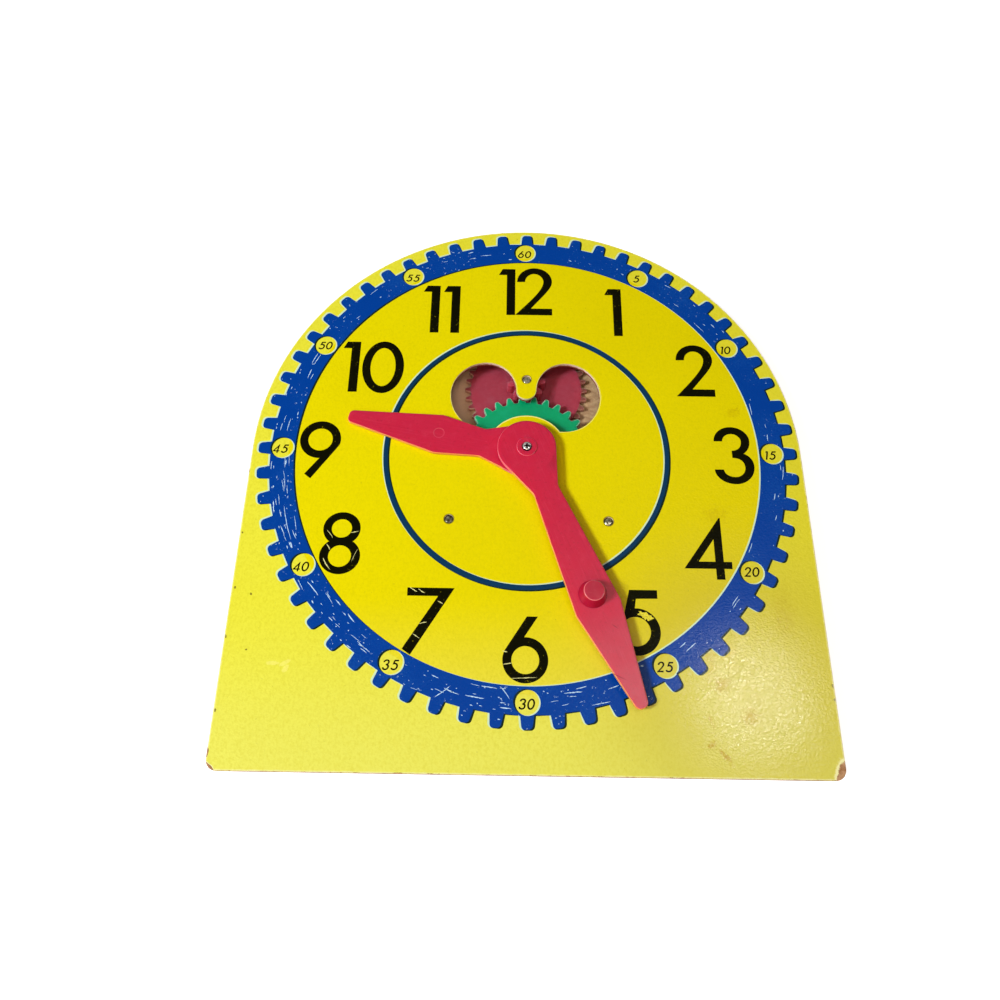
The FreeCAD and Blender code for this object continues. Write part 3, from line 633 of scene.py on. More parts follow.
# Minute labels: the same digits, small and slanted
LABEL_MINUTES = range(5, 65, 5)
LABEL_SCALE = 0.151
LABEL_SLANT = 0.17
LABEL_GAP = 5.2
LABEL_SWELL = 0.42  # how far the small digits' strokes grow, before they are scaled
DIGIT_WIDTHS = {"0": 25.7, "1": 5.5, "2": 23.6, "3": 23.4, "4": 26.7, "5": 25.5, "6": 24.4}
DIGIT_MIDDLE = 18.2
FLAG_OF_ONE = 5.2  # how far left of its foot a 1 reaches
DISC_RING_R = 144.27
DISC_R = 6.6
PRINT_SHIFT = Vector((0.02, 0.69))  # the ring's gap in the yellow off the hands' axis
CIRCLE_SHIFT = Vector((-0.37, 0.09))
LABEL_SHIFT = Vector((-0.21, -0.25))
PRINT_TURN = math.radians(0.167)
DEGREES_PER_MINUTE = 6
# The discs and labels are laid by hand: how far each lies off its even place
DISC_OFFSETS = {
    5: (-0.4, 0.1), 10: (-0.3, 0.5), 20: (-0.2, -0.8), 25: (1.1, -0.1), 30: (-0.1, -0.6),
    40: (0.4, 0.4), 50: (-0.7, -1), 55: (-1.7, -0.7), 60: (-1.2, 0),
}
LABEL_OFFSETS = {
    5: (-0.6, 0.5), 10: (-0.5, -0.2), 15: (-0.4, -0.3), 20: (0.3, 0.2), 25: (1.3, 0.1),
    30: (0.4, -0.7), 35: (0.3, -0.7), 45: (-0.7, 0.1), 50: (-0.3, -0.4), 55: (-1.4, -1),
    60: (-0.9, -0.3),
}


def outward_at(loop, outer):
    """Each point of a loop with the direction out of the shape that it bounds there."""
    side = 1 if anticlockwise(loop) == outer else -1
    found = []
    for i, p in enumerate(loop):
        before, after = loop[i - 1], loop[(i + 1) % len(loop)]
        along = Vector((after[0] - before[0], after[1] - before[1]))
        if along.length > 0:
            found.append((p, Vector((along.y, -along.x)).normalized() * side))
    return found


def grown(loop, outer, by):
    """A loop moved out of the shape that it bounds, as its outline or as a hole."""
    return [(p[0] + out.x * by, p[1] + out.y * by) for p, out in outward_at(loop, outer)]


def on_ring(radius, degrees, shift=PRINT_SHIFT):
    """A point of the printed ring, in dial millimetres."""
    angle = math.radians(degrees) - PRINT_TURN
    return Vector((radius * math.sin(angle), radius * math.cos(angle))) + shift


def label(minute):
    """A minute's digits, side by side about the label's centre."""
    text = str(minute)
    width = sum(DIGIT_WIDTHS[digit] for digit in text) + LABEL_GAP * (len(text) - 1)
    lead = FLAG_OF_ONE if text[0] == "1" else 0
    centre = on_ring(DISC_RING_R, minute * DEGREES_PER_MINUTE, LABEL_SHIFT)
    centre += Vector(LABEL_OFFSETS.get(minute, (0, 0)))
    pen = (lead - width) / 2
    shapes = []
    for digit in text:
        loops = []
        for index, plain in enumerate(DIGITS[digit]):
            loops.append([(
                centre.x + LABEL_SCALE * (pen + x + LABEL_SLANT * (y - DIGIT_MIDDLE)),
                centre.y + LABEL_SCALE * (y - DIGIT_MIDDLE),
            ) for x, y in grown(plain, index == 0, LABEL_SWELL)])
        shapes.append(loops)
        pen += DIGIT_WIDTHS[digit] + LABEL_GAP
    return shapes


for minute in LABEL_MINUTES:
    plate(f"minute_label_{minute:02d}", label(minute), INK_Z, label_ink)


# -------------------- blue ring and circle

RING_INNER_R = 136.45
TOOTH_ROOT_R = 151.6
TOOTH_TIP_R = 158.84
TOOTH_COUNT = 60
TOOTH_ROOT_HALF = 4.15
TOOTH_TIP_HALF = 3.35
TOOTH_CORNER_R = 2.4
TOOTH_CORNER_STEPS = 5
TOOTH_SINK = 0.1  # how far a tooth starts inside its root circle
HOUR_CIRCLE_INNER_R = 81.0
HOUR_CIRCLE_OUTER_R = 84.57
ROUND_STEPS = 180
DISC_STEPS = 48


def tooth(degrees):
    """One printed tooth's outline from root to root, clockwise, its tip corners rounded."""
    lean = math.atan((TOOTH_ROOT_HALF - TOOTH_TIP_HALF) / (TOOTH_TIP_R - TOOTH_ROOT_R))
    r = TOOTH_CORNER_R
    centre_x = TOOTH_TIP_HALF - r * math.tan((math.pi / 2 - lean) / 2)
    side = [(TOOTH_ROOT_HALF, TOOTH_ROOT_R - TOOTH_SINK)]
    side += arc(centre_x, TOOTH_TIP_R - r, r, r, math.degrees(lean), 90, TOOTH_CORNER_STEPS)
    both = [(-x, y) for x, y in side] + list(reversed(side))
    angle = math.radians(degrees) - PRINT_TURN
    c, s = math.cos(angle), math.sin(angle)
    return [(x * c + y * s + PRINT_SHIFT.x, y * c - x * s + PRINT_SHIFT.y) for x, y in both]


def circle(radius, steps=ROUND_STEPS, centre=PRINT_SHIFT):
    return [(radius * math.cos(2 * math.pi * i / steps) + centre[0],
             radius * math.sin(2 * math.pi * i / steps) + centre[1]) for i in range(steps)]


def shared(loops, shift):
    """The part of a shape that its shifted copy also covers, lapping a little less."""
    made = []
    for loop in loops:
        points = []
        for p, out in outward_at(loop, loop is loops[0]):
            if out.dot(shift) > 0:
                lap = LAP * out.dot(shift) / shift.length
                points.append((p[0] - out.x * lap, p[1] - out.y * lap))
            else:
                points.append((p[0] + shift[0], p[1] + shift[1]))
        made.append(points)
    return made


def misprint(name, loops, shift, spread, ink):
    """A blue shape: its gap in the yellow, the blue laid off it, and the true blue."""
    plate(name + "_gap", [[grown(loops[0], True, spread)] + loops[1:]], GAP_Z, gap_white)
    plate(name + "_overlap", [moved(loops, shift)], OVERLAP_Z, overlap_ink)
    plate(name, [shared(loops, shift)], INK_Z, ink)


outline = []
for index in range(TOOTH_COUNT):
    outline += tooth(index * 360 / TOOTH_COUNT)
discs = []
for minute in LABEL_MINUTES:
    middle = on_ring(DISC_RING_R, minute * DEGREES_PER_MINUTE)
    middle += Vector(DISC_OFFSETS.get(minute, (0, 0)))
    discs.append(circle(DISC_R, DISC_STEPS, middle))
misprint("minute_ring", [outline, circle(RING_INNER_R), *discs], RING_OFF_GAP, GAP_SPREAD, blue_ink)
misprint("hour_circle", [circle(HOUR_CIRCLE_OUTER_R, centre=CIRCLE_SHIFT),
                         circle(HOUR_CIRCLE_INNER_R, centre=CIRCLE_SHIFT)],
         CIRCLE_OFF_GAP, 0, circle_ink)


# -------------------- window rim

# The window's outline, as it is cut in the board, and a cream line painted along it as the
# highlight on its rounded edge
LOBE_X = 24.0
LOBE_FOOT_X = 23.0
LOBE_TOP_Y = 60.5
LOBE_SIDE_Y = 38.0
LOBE_FOOT_Y = 13.3
LOBE_REACHES = {1: 45.0, -1: 46.1}
TAB_R = 5.9
TAB_Y = 41.3
LAND_R = 23.9
RIM_WIDTH = 0.26
LAND_RIM_WIDTH = 0.62
RIM_WIDTH_LOST_ABOVE = 0.18
RIM_SEED = 5


def half_window(side):
    """The window's outline on one side, from the tab round to the hub's land."""
    reach = LOBE_REACHES[side]
    points = arc(LOBE_X, TAB_Y, LOBE_X - TAB_R, LOBE_TOP_Y - TAB_Y, 180, 90)
    points += arc(LOBE_X, LOBE_SIDE_Y, reach - LOBE_X, LOBE_TOP_Y - LOBE_SIDE_Y, 90, 0)[1:]
    points += arc(LOBE_FOOT_X, LOBE_SIDE_Y, reach - LOBE_FOOT_X, LOBE_SIDE_Y - LOBE_FOOT_Y,
                  0, -90)[1:]
    return [(side * x, y) for x, y in points]


land_end = math.degrees(math.asin(LOBE_FOOT_Y / LAND_R))
window = half_window(1) + arc(0, 0, LAND_R, LAND_R, land_end, 180 - land_end)
window += half_window(-1)[::-1] + arc(0, TAB_Y, TAB_R, TAB_R, 180, 360)[1:-1]
rng = random.Random(RIM_SEED)
rim = []
for p, q in zip(window, grown(window, False, 1.0)):
    full = LAND_RIM_WIDTH if math.hypot(*p) < LAND_R + 0.1 else RIM_WIDTH
    into_hole = Vector((q[0] - p[0], q[1] - p[1]))
    width = (full - RIM_WIDTH_LOST_ABOVE * max(0.0, -into_hole.y)) * rng.uniform(0.7, 1.2)
    rim.append((p[0] - into_hole.x * width, p[1] - into_hole.y * width))
# Painted highlight: a cream line round the window
plate("window_rim", [[rim, window]], GAP_Z, rim_highlight)


# -------------------- scratches and chips

SLIVER_STEP = 0.7
SLIVER_WAVER = 0.08


def sliver(start, end, width, rng, bow=0.06):
    """A ragged scratch between two points, pointed at both ends."""
    a, b = Vector(start), Vector(end)
    along = b - a
    across = Vector((-along.y, along.x)).normalized()
    lean = along.length * rng.uniform(-bow, bow)
    steps = max(4, min(14, round(along.length / SLIVER_STEP)))
    left, right = [], []
    for i in range(1, steps):
        t = i / steps
        aside = lean * 4 * t * (1 - t) + rng.uniform(-SLIVER_WAVER, SLIVER_WAVER)
        middle = a + along * t + across * aside
        half = width / 2 * math.sqrt(math.sin(math.pi * t)) * rng.uniform(0.45, 1.25)
        left.append(middle + across * half)
        right.append(middle - across * half)
    return [[tuple(p) for p in [a, *right, b, *reversed(left)]]]


# Scratches: two ends and a width
NUMERAL_SCRATCHES = (
    ((-7.8, -132.1), (6.2, -131.3), 0.44), ((-12.3, -124.8), (-7.3, -124.1), 0.48),
    ((-12.8, -117.5), (-9.8, -118.3), 0.56), ((-63.9, -83.6), (-59.6, -86.2), 0.64),
    ((-59.2, -84.2), (-55.2, -86.8), 0.56), ((-57.9, -103.8), (-53.4, -102.8), 0.48),
    ((-61.4, -109.2), (-57, -111.9), 0.56), ((-48.4, -91), (-45, -92.8), 0.48),
    ((-112.3, -59.1), (-109.9, -62.9), 0.56), ((-113.2, -67.4), (-108.6, -74.4), 0.64),
    ((-99.3, -52.3), (-94.3, -51.2), 0.48), ((-112.9, -50.9), (-108.9, -55.9), 0.28),
    ((-94.4, -61.9), (-97.4, -69.9), 0.24),
)
RING_SCRATCHES = (
    ((-48, -142.5), (-39.5, -136.3), 0.5), ((-14, -136), (-8.5, -143), 0.4),
    ((-142, -14), (-139.8, -28.2), 0.3), ((-138.8, -36.3), (-132.3, -57.3), 0.35),
)
SCRATCH_SEED = 11
# The chip out of the 5
CHIP_PLACE = (65, -97.6)
CHIP_HALF_WIDTH = 4.6
CHIP_HALF_HEIGHT = 2.2
CHIP_LEAN = 0.3
CHIP_POINTS = 30
# Short rubs run round the ring, more of them at the lower left
RUB_COUNT = 210
RUB_FAVOURED_AT = 225
RUB_LEAST_SHARE = 0.18
RUB_LENGTHS = (0.7, 1.2, 2, 4, 6, 9)
RUB_LENGTHS_ON_TOOTH = RUB_LENGTHS[:2]
RUB_INNER_R = 138.6
RUB_OUTER_R = 151
RUB_TOOTH_R = 157
DISC_SPACING = 30
DISC_MARGIN = 3.4
TOOTH_MARGIN = 1.1


def off_nearest(degrees, spacing):
    """How far an angle lies from the nearest multiple of a spacing."""
    return abs((degrees + spacing / 2) % spacing - spacing / 2)


def ragged_chip(rng):
    points = []
    for index in range(CHIP_POINTS):
        angle = 2 * math.pi * index / CHIP_POINTS
        right = CHIP_HALF_WIDTH * math.cos(angle)
        up = CHIP_HALF_HEIGHT * math.sin(angle)
        x = CHIP_PLACE[0] + right * rng.uniform(0.6, 1.1)
        y = CHIP_PLACE[1] + up * rng.uniform(0.5, 1.2) - CHIP_LEAN * right
        points.append((x, y))
    return points


rng = random.Random(SCRATCH_SEED)
slivers = [sliver(*scratch, rng) for scratch in NUMERAL_SCRATCHES]
plate("numeral_scratches", slivers, CHIP_Z, bare_pale)
plate("numeral_chips", [[ragged_chip(rng)]], CHIP_Z, bare_yellow)

slivers = [sliver(*scratch, rng) for scratch in RING_SCRATCHES]
while len(slivers) < RUB_COUNT:
    degrees = rng.uniform(0, 360)
    nearness = max(0.0, math.cos(math.radians(degrees - RUB_FAVOURED_AT)))
    if rng.random() > RUB_LEAST_SHARE + (1 - RUB_LEAST_SHARE) * nearness:
        continue
    if off_nearest(degrees, DISC_SPACING) < DISC_MARGIN:
        continue
    on_tooth = off_nearest(degrees, DEGREES_PER_MINUTE) < TOOTH_MARGIN
    radius = rng.uniform(RUB_INNER_R, RUB_TOOTH_R if on_tooth else RUB_OUTER_R)
    lengths = RUB_LENGTHS_ON_TOOTH if radius > RUB_OUTER_R else RUB_LENGTHS
    length = rng.choice(lengths) * rng.uniform(0.7, 1.2)
    turn = math.degrees(length / radius)
    start = on_ring(radius, degrees - turn / 2)
    end = on_ring(radius + rng.uniform(-0.12, 0.12) * length, degrees + turn / 2)
    slivers.append(sliver(start, end, rng.uniform(0.25, 0.6), rng, 0.03))
plate("ring_scratches", slivers, CHIP_Z, bare_white)


# -------------------- moulded plastic

PLASTIC_SPECULAR = 0.22
PLASTIC_GRAIN = 0.06 * MM
PLASTIC_LIGHT = (0.006, 0.0008, 0.0008)  # how far light of each colour travels inside
# How strongly the painted rim glow and shade show
RIM_GLOW = 0.8
RUBBED_RED = rgb(196, 96, 106)
CUT_RED = rgb(128, 16, 44)
# Painted highlight, in pink, on the walls round the hub's boss, out to this radius
HUB_GLOW = rgb(240, 112, 132)
HUB_GLOW_R = 17.5 * MM
TIP_RUB_R = 130 * MM  # past here a hand is rubbed pale, and fully so at its tip
TIP_RUB_END_R = 185 * MM

# Painted shade: a darker line along a hand's edge, on its upper right side, where its rounded edge
# turns away from the light
LIP_WIDTH = 1.3 * MM
LIP_CORE = 0.5 * MM
LIP_OUTSIDE = 1.2 * MM  # how far past the outline it fades
LIP_SHADE_STRENGTH = 0.35

# Each plastic's colour, dull, lighter, painted glow for rims facing the light, and darker, also
# used for its painted shade
CRIMSON = (rgb(203, 22, 62), rgb(192, 26, 64), rgb(224, 84, 106), rgb(255, 168, 84),
           rgb(140, 14, 34))
KNOB_CRIMSON = (rgb(182, 17, 52), rgb(170, 20, 52), rgb(206, 70, 92), rgb(240, 140, 146),
                rgb(176, 40, 66))
# The hands' outlines: tip, shoulder and waist, each its distance from the axis and half width
HAND_HUB_R = 17.2
HOUR_BLADE = ((108.6, 3.8), (53.0, 12.8), (26.5, 9.0))
MINUTE_BLADE = ((159.0, 3.2), (102.5, 13.1), (29.0, 7.6))
HOUR_LENGTH_ANGLE = 168.8
MINUTE_LENGTH_ANGLE = -67.8
HOUR_GATE = (-52, 10.3, 3.1)  # the moulding gate's ring: its centre and radius
MINUTE_CUTS = ((47.5, -131, 7, -25), (47, -105, 3, -35))  # place, half length and angle


def hand_lip(m, turn, tip, shoulder, waist):
    """1 along a hand's edge on its upper right side, where shade is painted."""
    dx, dy = m.offset(0, 0)
    along, across = m.turned(dx, dy, turn)
    points_left = math.cos(math.radians(turn)) < 0
    half = None
    for outer, inner in ((tip, shoulder), (shoulder, waist)):
        slope = (outer[1] - inner[1]) / (outer[0] - inner[0])
        line = m.add(m.mul(along, slope), (outer[1] - slope * outer[0]) * MM)
        half = line if half is None else m.low(half, line)
    inward = m.sub(half, m.mul(across, -1 if points_left else 1))
    blade = m.mul(m.step(inward, LIP_WIDTH, LIP_CORE), m.step(inward, -LIP_OUTSIDE, -0.2 * MM))
    waist_at = waist[0] * MM
    blade = m.mul(blade, m.step(along, waist_at - 5 * MM, waist_at))
    hub_r = HAND_HUB_R * MM
    hub = m.step(m.length(dx, dy), hub_r - LIP_WIDTH, hub_r - LIP_CORE)
    hub = m.mul(hub, m.step(m.add(dx, dy), -4 * MM, 6 * MM))
    hub = m.mul(hub, m.step(along, waist_at - 2 * MM, waist_at - 8 * MM))
    return m.high(blade, hub)


def plastic(name, shades, turn=0.0, gates=(), cuts=(), roughness=0.34, blade=None,
            specular=PLASTIC_SPECULAR, steepest=-1.0):
    """Moulded plastic: flow marks, fine scratches along its length, rubbed high spots, and
    a painted glow on rims that face the light at the lower left, painted shade on those at the
    upper right.

    The turn is the angle of its length. Only faces that look up at least as much as the
    steepest take the painted glow and shade.
    """
    colour, dull, lit, edge, shade = shades
    m = Finish(name, specular=specular)
    flow = m.noise(26, 3)
    mottle = m.noise(240, 3, 0.6)
    grain = m.noise(620, 3, 0.65, offset=(2, 2, 0))
    made = m.mix(m.step(flow, 0.35, 0.7, 0, 0.5), colour, dull)
    made = m.mix(m.step(mottle, 0.5, 0.8, 0, 0.12), made, lit)
    made = m.mix(m.step(grain, 0.62, 0.74, 0, 0.22), made, lit)
    made = m.mix(m.step(grain, 0.42, 0.32, 0, 0.25), made, shade)
    drawn = m.streaks(turn, 45, 1300)
    made = m.mix(m.step(drawn, 0.56, 0.7, 0, 0.14), made, lit)
    made = m.mix(m.step(drawn, 0.42, 0.3, 0, 0.16), made, shade)
    lines = m.step(m.streaks(turn + 24, 60, 1700), 0.68, 0.74)
    made = m.mix(m.mul(lines, 0.25), made, lit)
    if blade is not None:
        outward = m.add(m.distance(0, 0), m.mul(flow, 60 * MM))
        made = m.mix(m.step(outward, TIP_RUB_R, TIP_RUB_END_R, 0, 0.45), made, RUBBED_RED)
        # Painted shade along the hand's upper right edge
        made = m.mix(m.mul(hand_lip(m, turn, *blade), LIP_SHADE_STRENGTH), made, shade)

    # Painted light and shade: sloping rims facing the lower left take the glow colour, pink near
    # the hub, and the rest a mix with the shade colour
    nx, ny, nz = m.facing()
    faces_light = m.step(m.add(nx, ny), 0.3, -0.5, 0.55, 1)
    slope = m.mul(m.step(nz, 0.97, 0.85), m.step(nz, steepest, steepest + 0.2, 0, RIM_GLOW))
    past_hub = m.step(m.distance(0, 0), HUB_GLOW_R, HUB_GLOW_R + 1.5 * MM)
    painted_glow = m.mix(past_hub, HUB_GLOW, edge)
    made = m.mix(slope, made, m.mix(faces_light, shade, painted_glow))
    for x, y, r in gates:
        off = m.math("ABSOLUTE", m.sub(m.distance(x, y), r * MM))
        made = m.mix(m.step(off, 0.45 * MM, 0.1 * MM, 0, 0.5), made, lit)
    for x, y, half_length, cut_turn in cuts:
        made = m.mix(m.mul(m.blot(x, y, half_length, 0.45, cut_turn), 0.75), made, CUT_RED)

    ripple = m.add(m.mul(mottle, 0.4), m.mul(m.noise(1300), 0.25))
    height = m.sub(ripple, m.mul(lines, 0.5))
    m.glow_through(0.45, PLASTIC_LIGHT)
    return m.done(made, m.step(mottle, 0.3, 0.7, roughness - 0.05, roughness + 0.07),
                  m.bump(height, PLASTIC_GRAIN))


dress(["hour_hand"], plastic("hour_hand_plastic", CRIMSON, HOUR_LENGTH_ANGLE,
                             gates=(HOUR_GATE,), blade=HOUR_BLADE))
dress(["minute_hand"], plastic("minute_hand_plastic", CRIMSON, MINUTE_LENGTH_ANGLE,
                               cuts=MINUTE_CUTS, blade=MINUTE_BLADE))
dress(["minute_hand_knob"], plastic("knob_plastic", KNOB_CRIMSON, roughness=0.2, specular=0.3,
                                    steepest=0.5))


# -------------------- gears

GEAR_SPECULAR = 0.12
GEAR_GRAIN = 0.08 * MM
GEAR_LIGHT = (0.012, 0.008, 0.008)
# Soiled teeth, and the painted shade on them
SOILED_AND_SHADED = rgb(134, 76, 68)
LAND_SHADOW_GREEN = rgb(6, 84, 52)

# Each gear's colour, where it is rubbed, and the highlight painted along its teeth's edges
GREEN = (rgb(0, 162, 104), rgb(24, 178, 134), rgb(136, 204, 166))
GEAR_RED = (rgb(170, 58, 76), rgb(180, 84, 98), rgb(212, 156, 136))
IVORY = (rgb(214, 206, 188), rgb(204, 192, 170), rgb(234, 228, 214))
# Centre, teeth, pitch, tip and root radius in metres, and the angle of one tooth's middle,
# in degrees clockwise from +Y
HOUR_GEAR = (AXIS, 32, 0.0392, 0.04116, 0.03675, 1.55 + 180 / 32)
IDLER_WHEEL = (IDLER, 36, 0.03675, 0.03838, 0.03471, 180 + 4.6 + 180 / 36)
MINUTE_PINION = (AXIS, 12, 0.01225, 0.01388, 0.01021, 0)


def tooth_line(m, gear, dx, dy, reach):
    """1 on a line along the edges of a gear's teeth, where a highlight is painted."""
    _, teeth, pitch_r, tip_r, _, tooth_at = gear
    turn = m.sub(m.math("ARCTAN2", dx, dy), math.radians(tooth_at) - math.pi / teeth)
    share = m.math("FRACT", m.mul(turn, teeth / (2 * math.pi)))
    across = m.mul(m.math("ABSOLUTE", m.sub(share, 0.5)), m.mul(reach, 2 * math.pi / teeth))
    pitch_half = pitch_r * math.pi / teeth / 2 - 0.3 * MM
    half = m.sub(pitch_half, m.mul(m.sub(reach, pitch_r), 0.36))
    return m.high(m.step(m.sub(half, across), 0.55 * MM, 0.1 * MM),
                  m.step(m.sub(tip_r, reach), 0.65 * MM, 0.15 * MM))


def gear_plastic(name, shades, gear, roughness=0.42, soil_and_shade=0.0, land_shadow_r=None):
    """A moulded gear: rubbed patches, teeth soiled by use with painted shade that deepens to the
    right, a painted highlight along their edges, and a painted shadow ring from the radius at which
    it runs under the board's land."""
    colour, worn, edge = shades
    centre, root_r = gear[0], gear[4]
    m = Finish(name, specular=GEAR_SPECULAR)
    dx, dy = m.sub(m.x, centre.x), m.sub(m.y, centre.y)
    reach = m.length(dx, dy)
    mottle = m.noise(420, 4, 0.65)
    flow = m.noise(60, 3, offset=(1, 0, 0))
    made = m.mix(m.step(mottle, 0.42, 0.75, 0, 0.2), colour, worn)
    made = m.mix(m.step(flow, 0.56, 0.72, 0, 0.35), made, worn)
    toothed = m.step(reach, root_r - 0.3 * MM, root_r + 0.5 * MM)
    rightward = m.step(dx, -15 * MM, 15 * MM)
    # Soil on the teeth, with painted shade stronger towards the right
    made = m.mix(m.mul(toothed, m.mul(soil_and_shade, m.add(rightward, 0.6))), made, SOILED_AND_SHADED)
    # Painted shadow of the board's land, in a ring just outside it
    if land_shadow_r is not None:
        land_shadow = m.mul(m.step(reach, land_shadow_r + 4.5 * MM, land_shadow_r), m.step(reach, land_shadow_r - 1 * MM, land_shadow_r))
        made = m.mix(m.mul(land_shadow, 0.6), made, LAND_SHADOW_GREEN)
    # Painted highlight along the teeth's edges, fainter where the teeth take painted shade
    line = m.mul(tooth_line(m, gear, dx, dy, reach), toothed)
    line = m.mul(line, m.step(m.mul(rightward, soil_and_shade), 0, 0.7, 1, 0.35))
    line = m.mul(line, m.step(mottle, 0.25, 0.55, 0.45, 0.9))
    made = m.mix(line, made, edge)
    m.glow_through(0.8, GEAR_LIGHT)
    return m.done(made, m.step(flow, 0.3, 0.7, roughness - 0.06, roughness + 0.1),
                  m.bump(mottle, GEAR_GRAIN))


dress(["hour_gear"], gear_plastic("green_plastic", GREEN, HOUR_GEAR, land_shadow_r=LAND_R * MM))
dress(["idler_gear"], gear_plastic("red_gear_plastic", GEAR_RED, IDLER_WHEEL, roughness=0.6,
                                   soil_and_shade=0.7))
dress(["minute_pinion"], gear_plastic("pinion_plastic", IVORY, MINUTE_PINION))


# -------------------- metal and hardboard

METAL_GRAIN = 0.05 * MM
SCREW_GRAIN_SCALE = 2400
SLOT_SHADE_AND_GRIME = rgb(22, 18, 16)
# Painted shade with grime, below just under the screw head's top, darkening its cross recess
SCREW_SHADE_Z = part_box("centre_screw")[1].z - 0.3 * MM

# Each steel's colour, its dull patches, its roughness, and the nodes that it is on
STEELS = {
    "rivet_steel": (rgb(150, 146, 126), rgb(52, 48, 34), 0.24, ["board_rivets", "idler_axle"]),
    "washer_steel": (rgb(186, 184, 178), rgb(140, 136, 128), 0.38, ["rivet_washers"]),
    "tube_steel": (rgb(190, 188, 184), rgb(150, 148, 142), 0.34, [
        "spacer_left", "spacer_right", "idler_sleeve", "idler_washer_rear", "idler_washer_front",
    ]),
    "arbor_steel": (rgb(198, 190, 166), rgb(160, 148, 120), 0.3, ["centre_arbor"]),
    "spring_steel": (rgb(150, 152, 158), rgb(110, 112, 118), 0.28, ["friction_spring"]),
}


def metal(name, colour, dull, roughness, scale=900, shade_and_grime_z=None):
    """Worn metal: fine turning marks, dull patches, and grime with painted shade below a height."""
    m = Finish(name, metallic=1.0)
    patch = m.noise(scale / 3, 4, 0.6)
    fine = m.noise(scale * 2, 2, 0.6)
    made = m.mix(m.step(patch, 0.4, 0.65), colour, dull)
    if shade_and_grime_z is not None:
        made = m.mix(m.step(m.z, shade_and_grime_z + 0.1 * MM, shade_and_grime_z - 0.1 * MM), made, SLOT_SHADE_AND_GRIME)
    spread = m.step(patch, 0.35, 0.7, roughness - 0.08, roughness + 0.14)
    return m.done(made, spread, m.bump(m.add(patch, m.mul(fine, 0.5)), METAL_GRAIN))


for name, (colour, dull, roughness, nodes) in STEELS.items():
    dress(nodes, metal(name, colour, dull, roughness))
dress(["centre_screw"], metal("screw_steel", rgb(206, 200, 192), rgb(52, 44, 40), 0.16,
                              SCREW_GRAIN_SCALE, SCREW_SHADE_Z))

PLATE_FRONT_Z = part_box("back_plate")[1].z
BOARD_GRAIN = 0.2 * MM
TAN_DARK = rgb(168, 132, 96)
TAN_PALE = rgb(196, 164, 122)
TAN_SPECK = rgb(140, 98, 70)
TAN_CLOUD = rgb(150, 108, 80)
TAN_LIT_LEFT = rgb(246, 206, 172)  # painted light: paler where the left lobe shows it, lifting the shadow of the window's edge
PLATE_HOLLOW = rgb(104, 70, 44)
PLATE_KNOT = rgb(142, 100, 66)


def hardboard_finish():
    """The plate behind the gears: smooth tan front, painted lighter at the left, screen-marked
    back.
    """
    m = Finish("hardboard", specular=0.3)
    strand = m.noise(240, 5, 0.7, stretch=(1, 1.6, 3))
    coarse = m.noise(700, 4, 0.65)
    cloud = m.noise(60, 3, 0.6)
    front = m.mix(m.step(strand, 0.35, 0.65), TAN_DARK, TAN_PALE)
    front = m.mix(m.step(coarse, 0.5, 0.68, 0, 0.45), front, TAN_SPECK)
    front = m.mix(m.step(cloud, 0.45, 0.7, 0, 0.35), front, TAN_CLOUD)
    # Painted light: paler towards the left, where the window's edge shades the plate
    front = m.mix(m.step(m.x, -28 * MM, -42 * MM, 0.0, 0.8), front, TAN_LIT_LEFT)
    screen = press_screen(m)
    back = m.mix(screen, PLATE_HOLLOW, PLATE_KNOT)
    behind = m.step(m.z, PLATE_FRONT_Z - 0.2 * MM, PLATE_FRONT_Z - 0.6 * MM)
    rear = m.step(m.z, 0.35 * MM, 0.1 * MM)
    edge = m.mix(m.step(strand, 0.4, 0.6), FIBRE_DARK, FIBRE_MID)
    colour = m.mix(rear, m.mix(behind, front, edge), back)
    height = m.add(m.add(m.mul(strand, 0.6), m.mul(coarse, 0.5)), m.mul(m.mul(screen, rear), 1.6))
    return m.done(colour, m.step(strand, 0.3, 0.7, 0.6, 0.8), m.bump(height, BOARD_GRAIN))


dress(["back_plate"], hardboard_finish())


# -------------------- floor and light

def seen_directly(tree):
    """1 for rays from the camera, off anything glossy or through glass, otherwise 0."""
    rays = add_node(tree, "ShaderNodeLightPath").outputs
    seen = rays["Is Camera Ray"]
    for kind in ("Is Glossy Ray", "Is Transmission Ray"):
        seen = add_node(tree, "ShaderNodeMath", {0: seen, 1: rays[kind]},
                        operation="MAXIMUM").outputs[0]
    return seen


FLOOR_HALF = 4.0
FLOOR_COLOUR = (0.9, 0.9, 0.9, 1)
FLOOR_LIFT = 0.75  # how much brighter than it is lit the floor looks
AMBIENT = 0.12


def lay_floor():
    """Pale paper, which looks white and still takes the object's shadow."""
    corners = [(x * FLOOR_HALF, y * FLOOR_HALF, 0) for x, y in ((-1, -1), (1, -1), (1, 1), (-1, 1))]
    mesh = bpy.data.meshes.new("floor")
    mesh.from_pydata(corners, [], [(0, 1, 2, 3)])
    floor = bpy.data.objects.new("floor", mesh)
    bpy.context.scene.collection.objects.link(floor)

    paper = bpy.data.materials.new("floor")
    tree = emptied(paper)
    matt = add_node(tree, "ShaderNodeBsdfDiffuse", {"Color": FLOOR_COLOUR})
    lift = add_node(tree, "ShaderNodeMath", {0: seen_directly(tree), 1: FLOOR_LIFT},
                    operation="MULTIPLY")
    glow = add_node(tree, "ShaderNodeEmission", {"Strength": lift.outputs[0]})
    both = add_node(tree, "ShaderNodeAddShader", {0: matt.outputs[0], 1: glow.outputs[0]})
    add_node(tree, "ShaderNodeOutputMaterial", {0: both.outputs[0]})
    mesh.materials.append(paper)


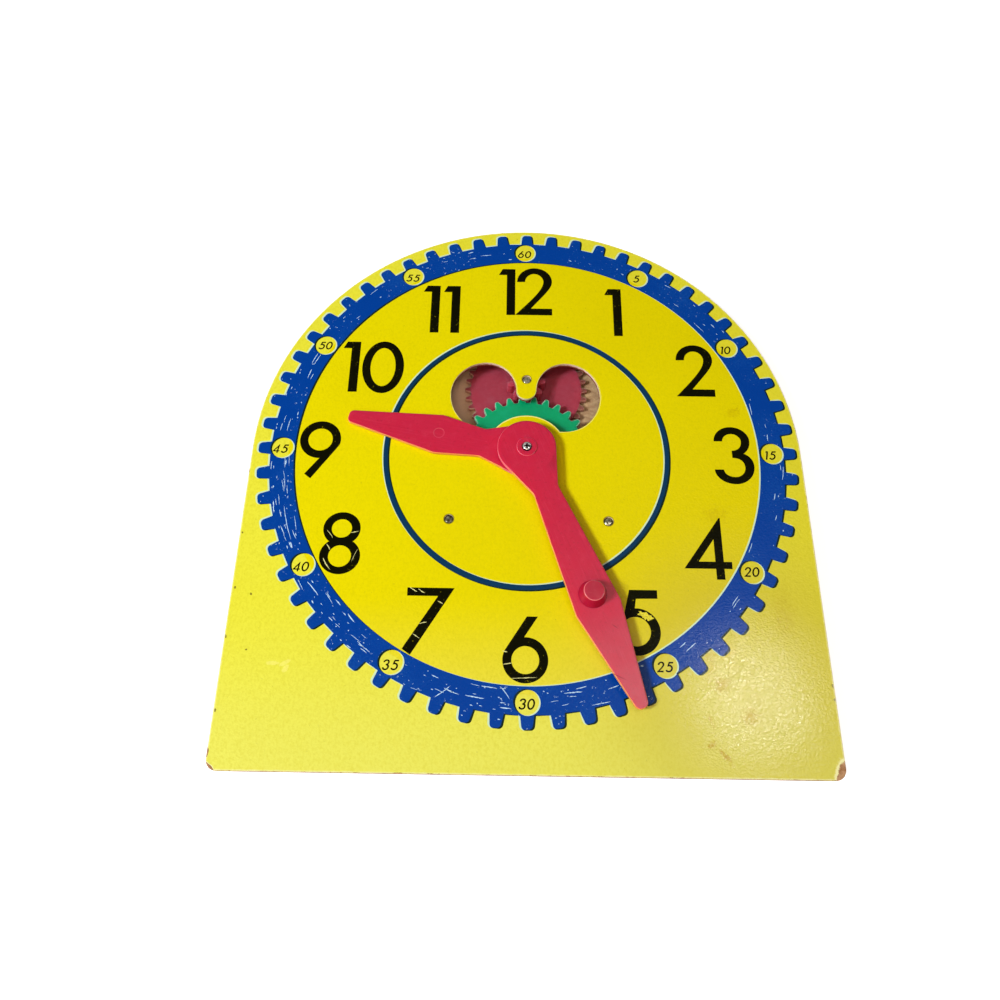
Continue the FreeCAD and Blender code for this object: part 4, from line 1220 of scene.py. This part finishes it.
def light_sky():
    """White where it is seen directly, and a low ambient light elsewhere."""
    world = bpy.data.worlds.new("studio")
    tree = emptied(world)
    bpy.context.scene.world = world
    level = add_node(tree, "ShaderNodeMapRange", {
        "Value": seen_directly(tree), "To Min": AMBIENT, "To Max": 1.0,
    })
    sky = add_node(tree, "ShaderNodeBackground", {"Strength": level.outputs[0]})
    add_node(tree, "ShaderNodeOutputWorld", {0: sky.outputs[0]})


def lamp(name, target, direction, distance, power, **settings):
    """An area lamp of some watts that shines at a target from a direction."""
    data = bpy.data.lights.new(name, "AREA")
    data.energy = power
    for key, value in settings.items():
        setattr(data, key, value)
    item = bpy.data.objects.new(name, data)
    bpy.context.scene.collection.objects.link(item)
    aim = Vector(direction).normalized()
    item.rotation_mode = "QUATERNION"
    item.rotation_quaternion = aim.to_track_quat("Z", "Y")
    item.location = target + aim * distance
    item.visible_camera = False
    return item


FACE_MIDDLE = Vector((0, 0, FACE_Z))
KEY_FROM = (-0.6568, -0.2262, 0.7193)
FILL_FROM = (-0.1, -0.7, 0.7)
OVERHEAD_FROM = (0.02, -0.06, 1)
COOL = (0.92, 1, 1.06)
WARM = (1, 0.74, 0.55)
WARM_WHITE = (1, 0.8, 0.64)
# A window's panes, each mirrored towards the viewer from a point of the face: that point in
# dial millimetres, then power, width and height
PANE_DISTANCE = 1.3
PANES = {
    "pane_left": (116.3, -131, 4.2, 0.02, 0.1),
    "pane_right": (132.1, -143.5, 1.1, 0.03, 0.05),
    "pane_low": (117, -157, 0.9, 0.12, 0.04),
}

lay_floor()
light_sky()
lamp("key", FACE_MIDDLE, KEY_FROM, distance=2.4, power=51, shape="DISK", size=0.53, color=COOL)
lamp("fill", FACE_MIDDLE, FILL_FROM, distance=1.7, power=6.6, shape="DISK", size=1.0,
     specular_factor=0.5, color=WARM)
lamp("overhead", FACE_MIDDLE, OVERHEAD_FROM, distance=1.5, power=4.4, shape="RECTANGLE",
     size=1.3, size_y=0.5, specular_factor=0.4, color=WARM_WHITE)
for name, (x, y, power, width, height) in PANES.items():
    spot = Vector((AXIS.x + x * MM, AXIS.y + y * MM, FACE_Z))
    seen = spot - CAMERA_PLACE
    pane = lamp(name, spot, (seen.x, seen.y, -seen.z), PANE_DISTANCE, power, shape="RECTANGLE",
                size=width, size_y=height)
    pane.visible_diffuse = False
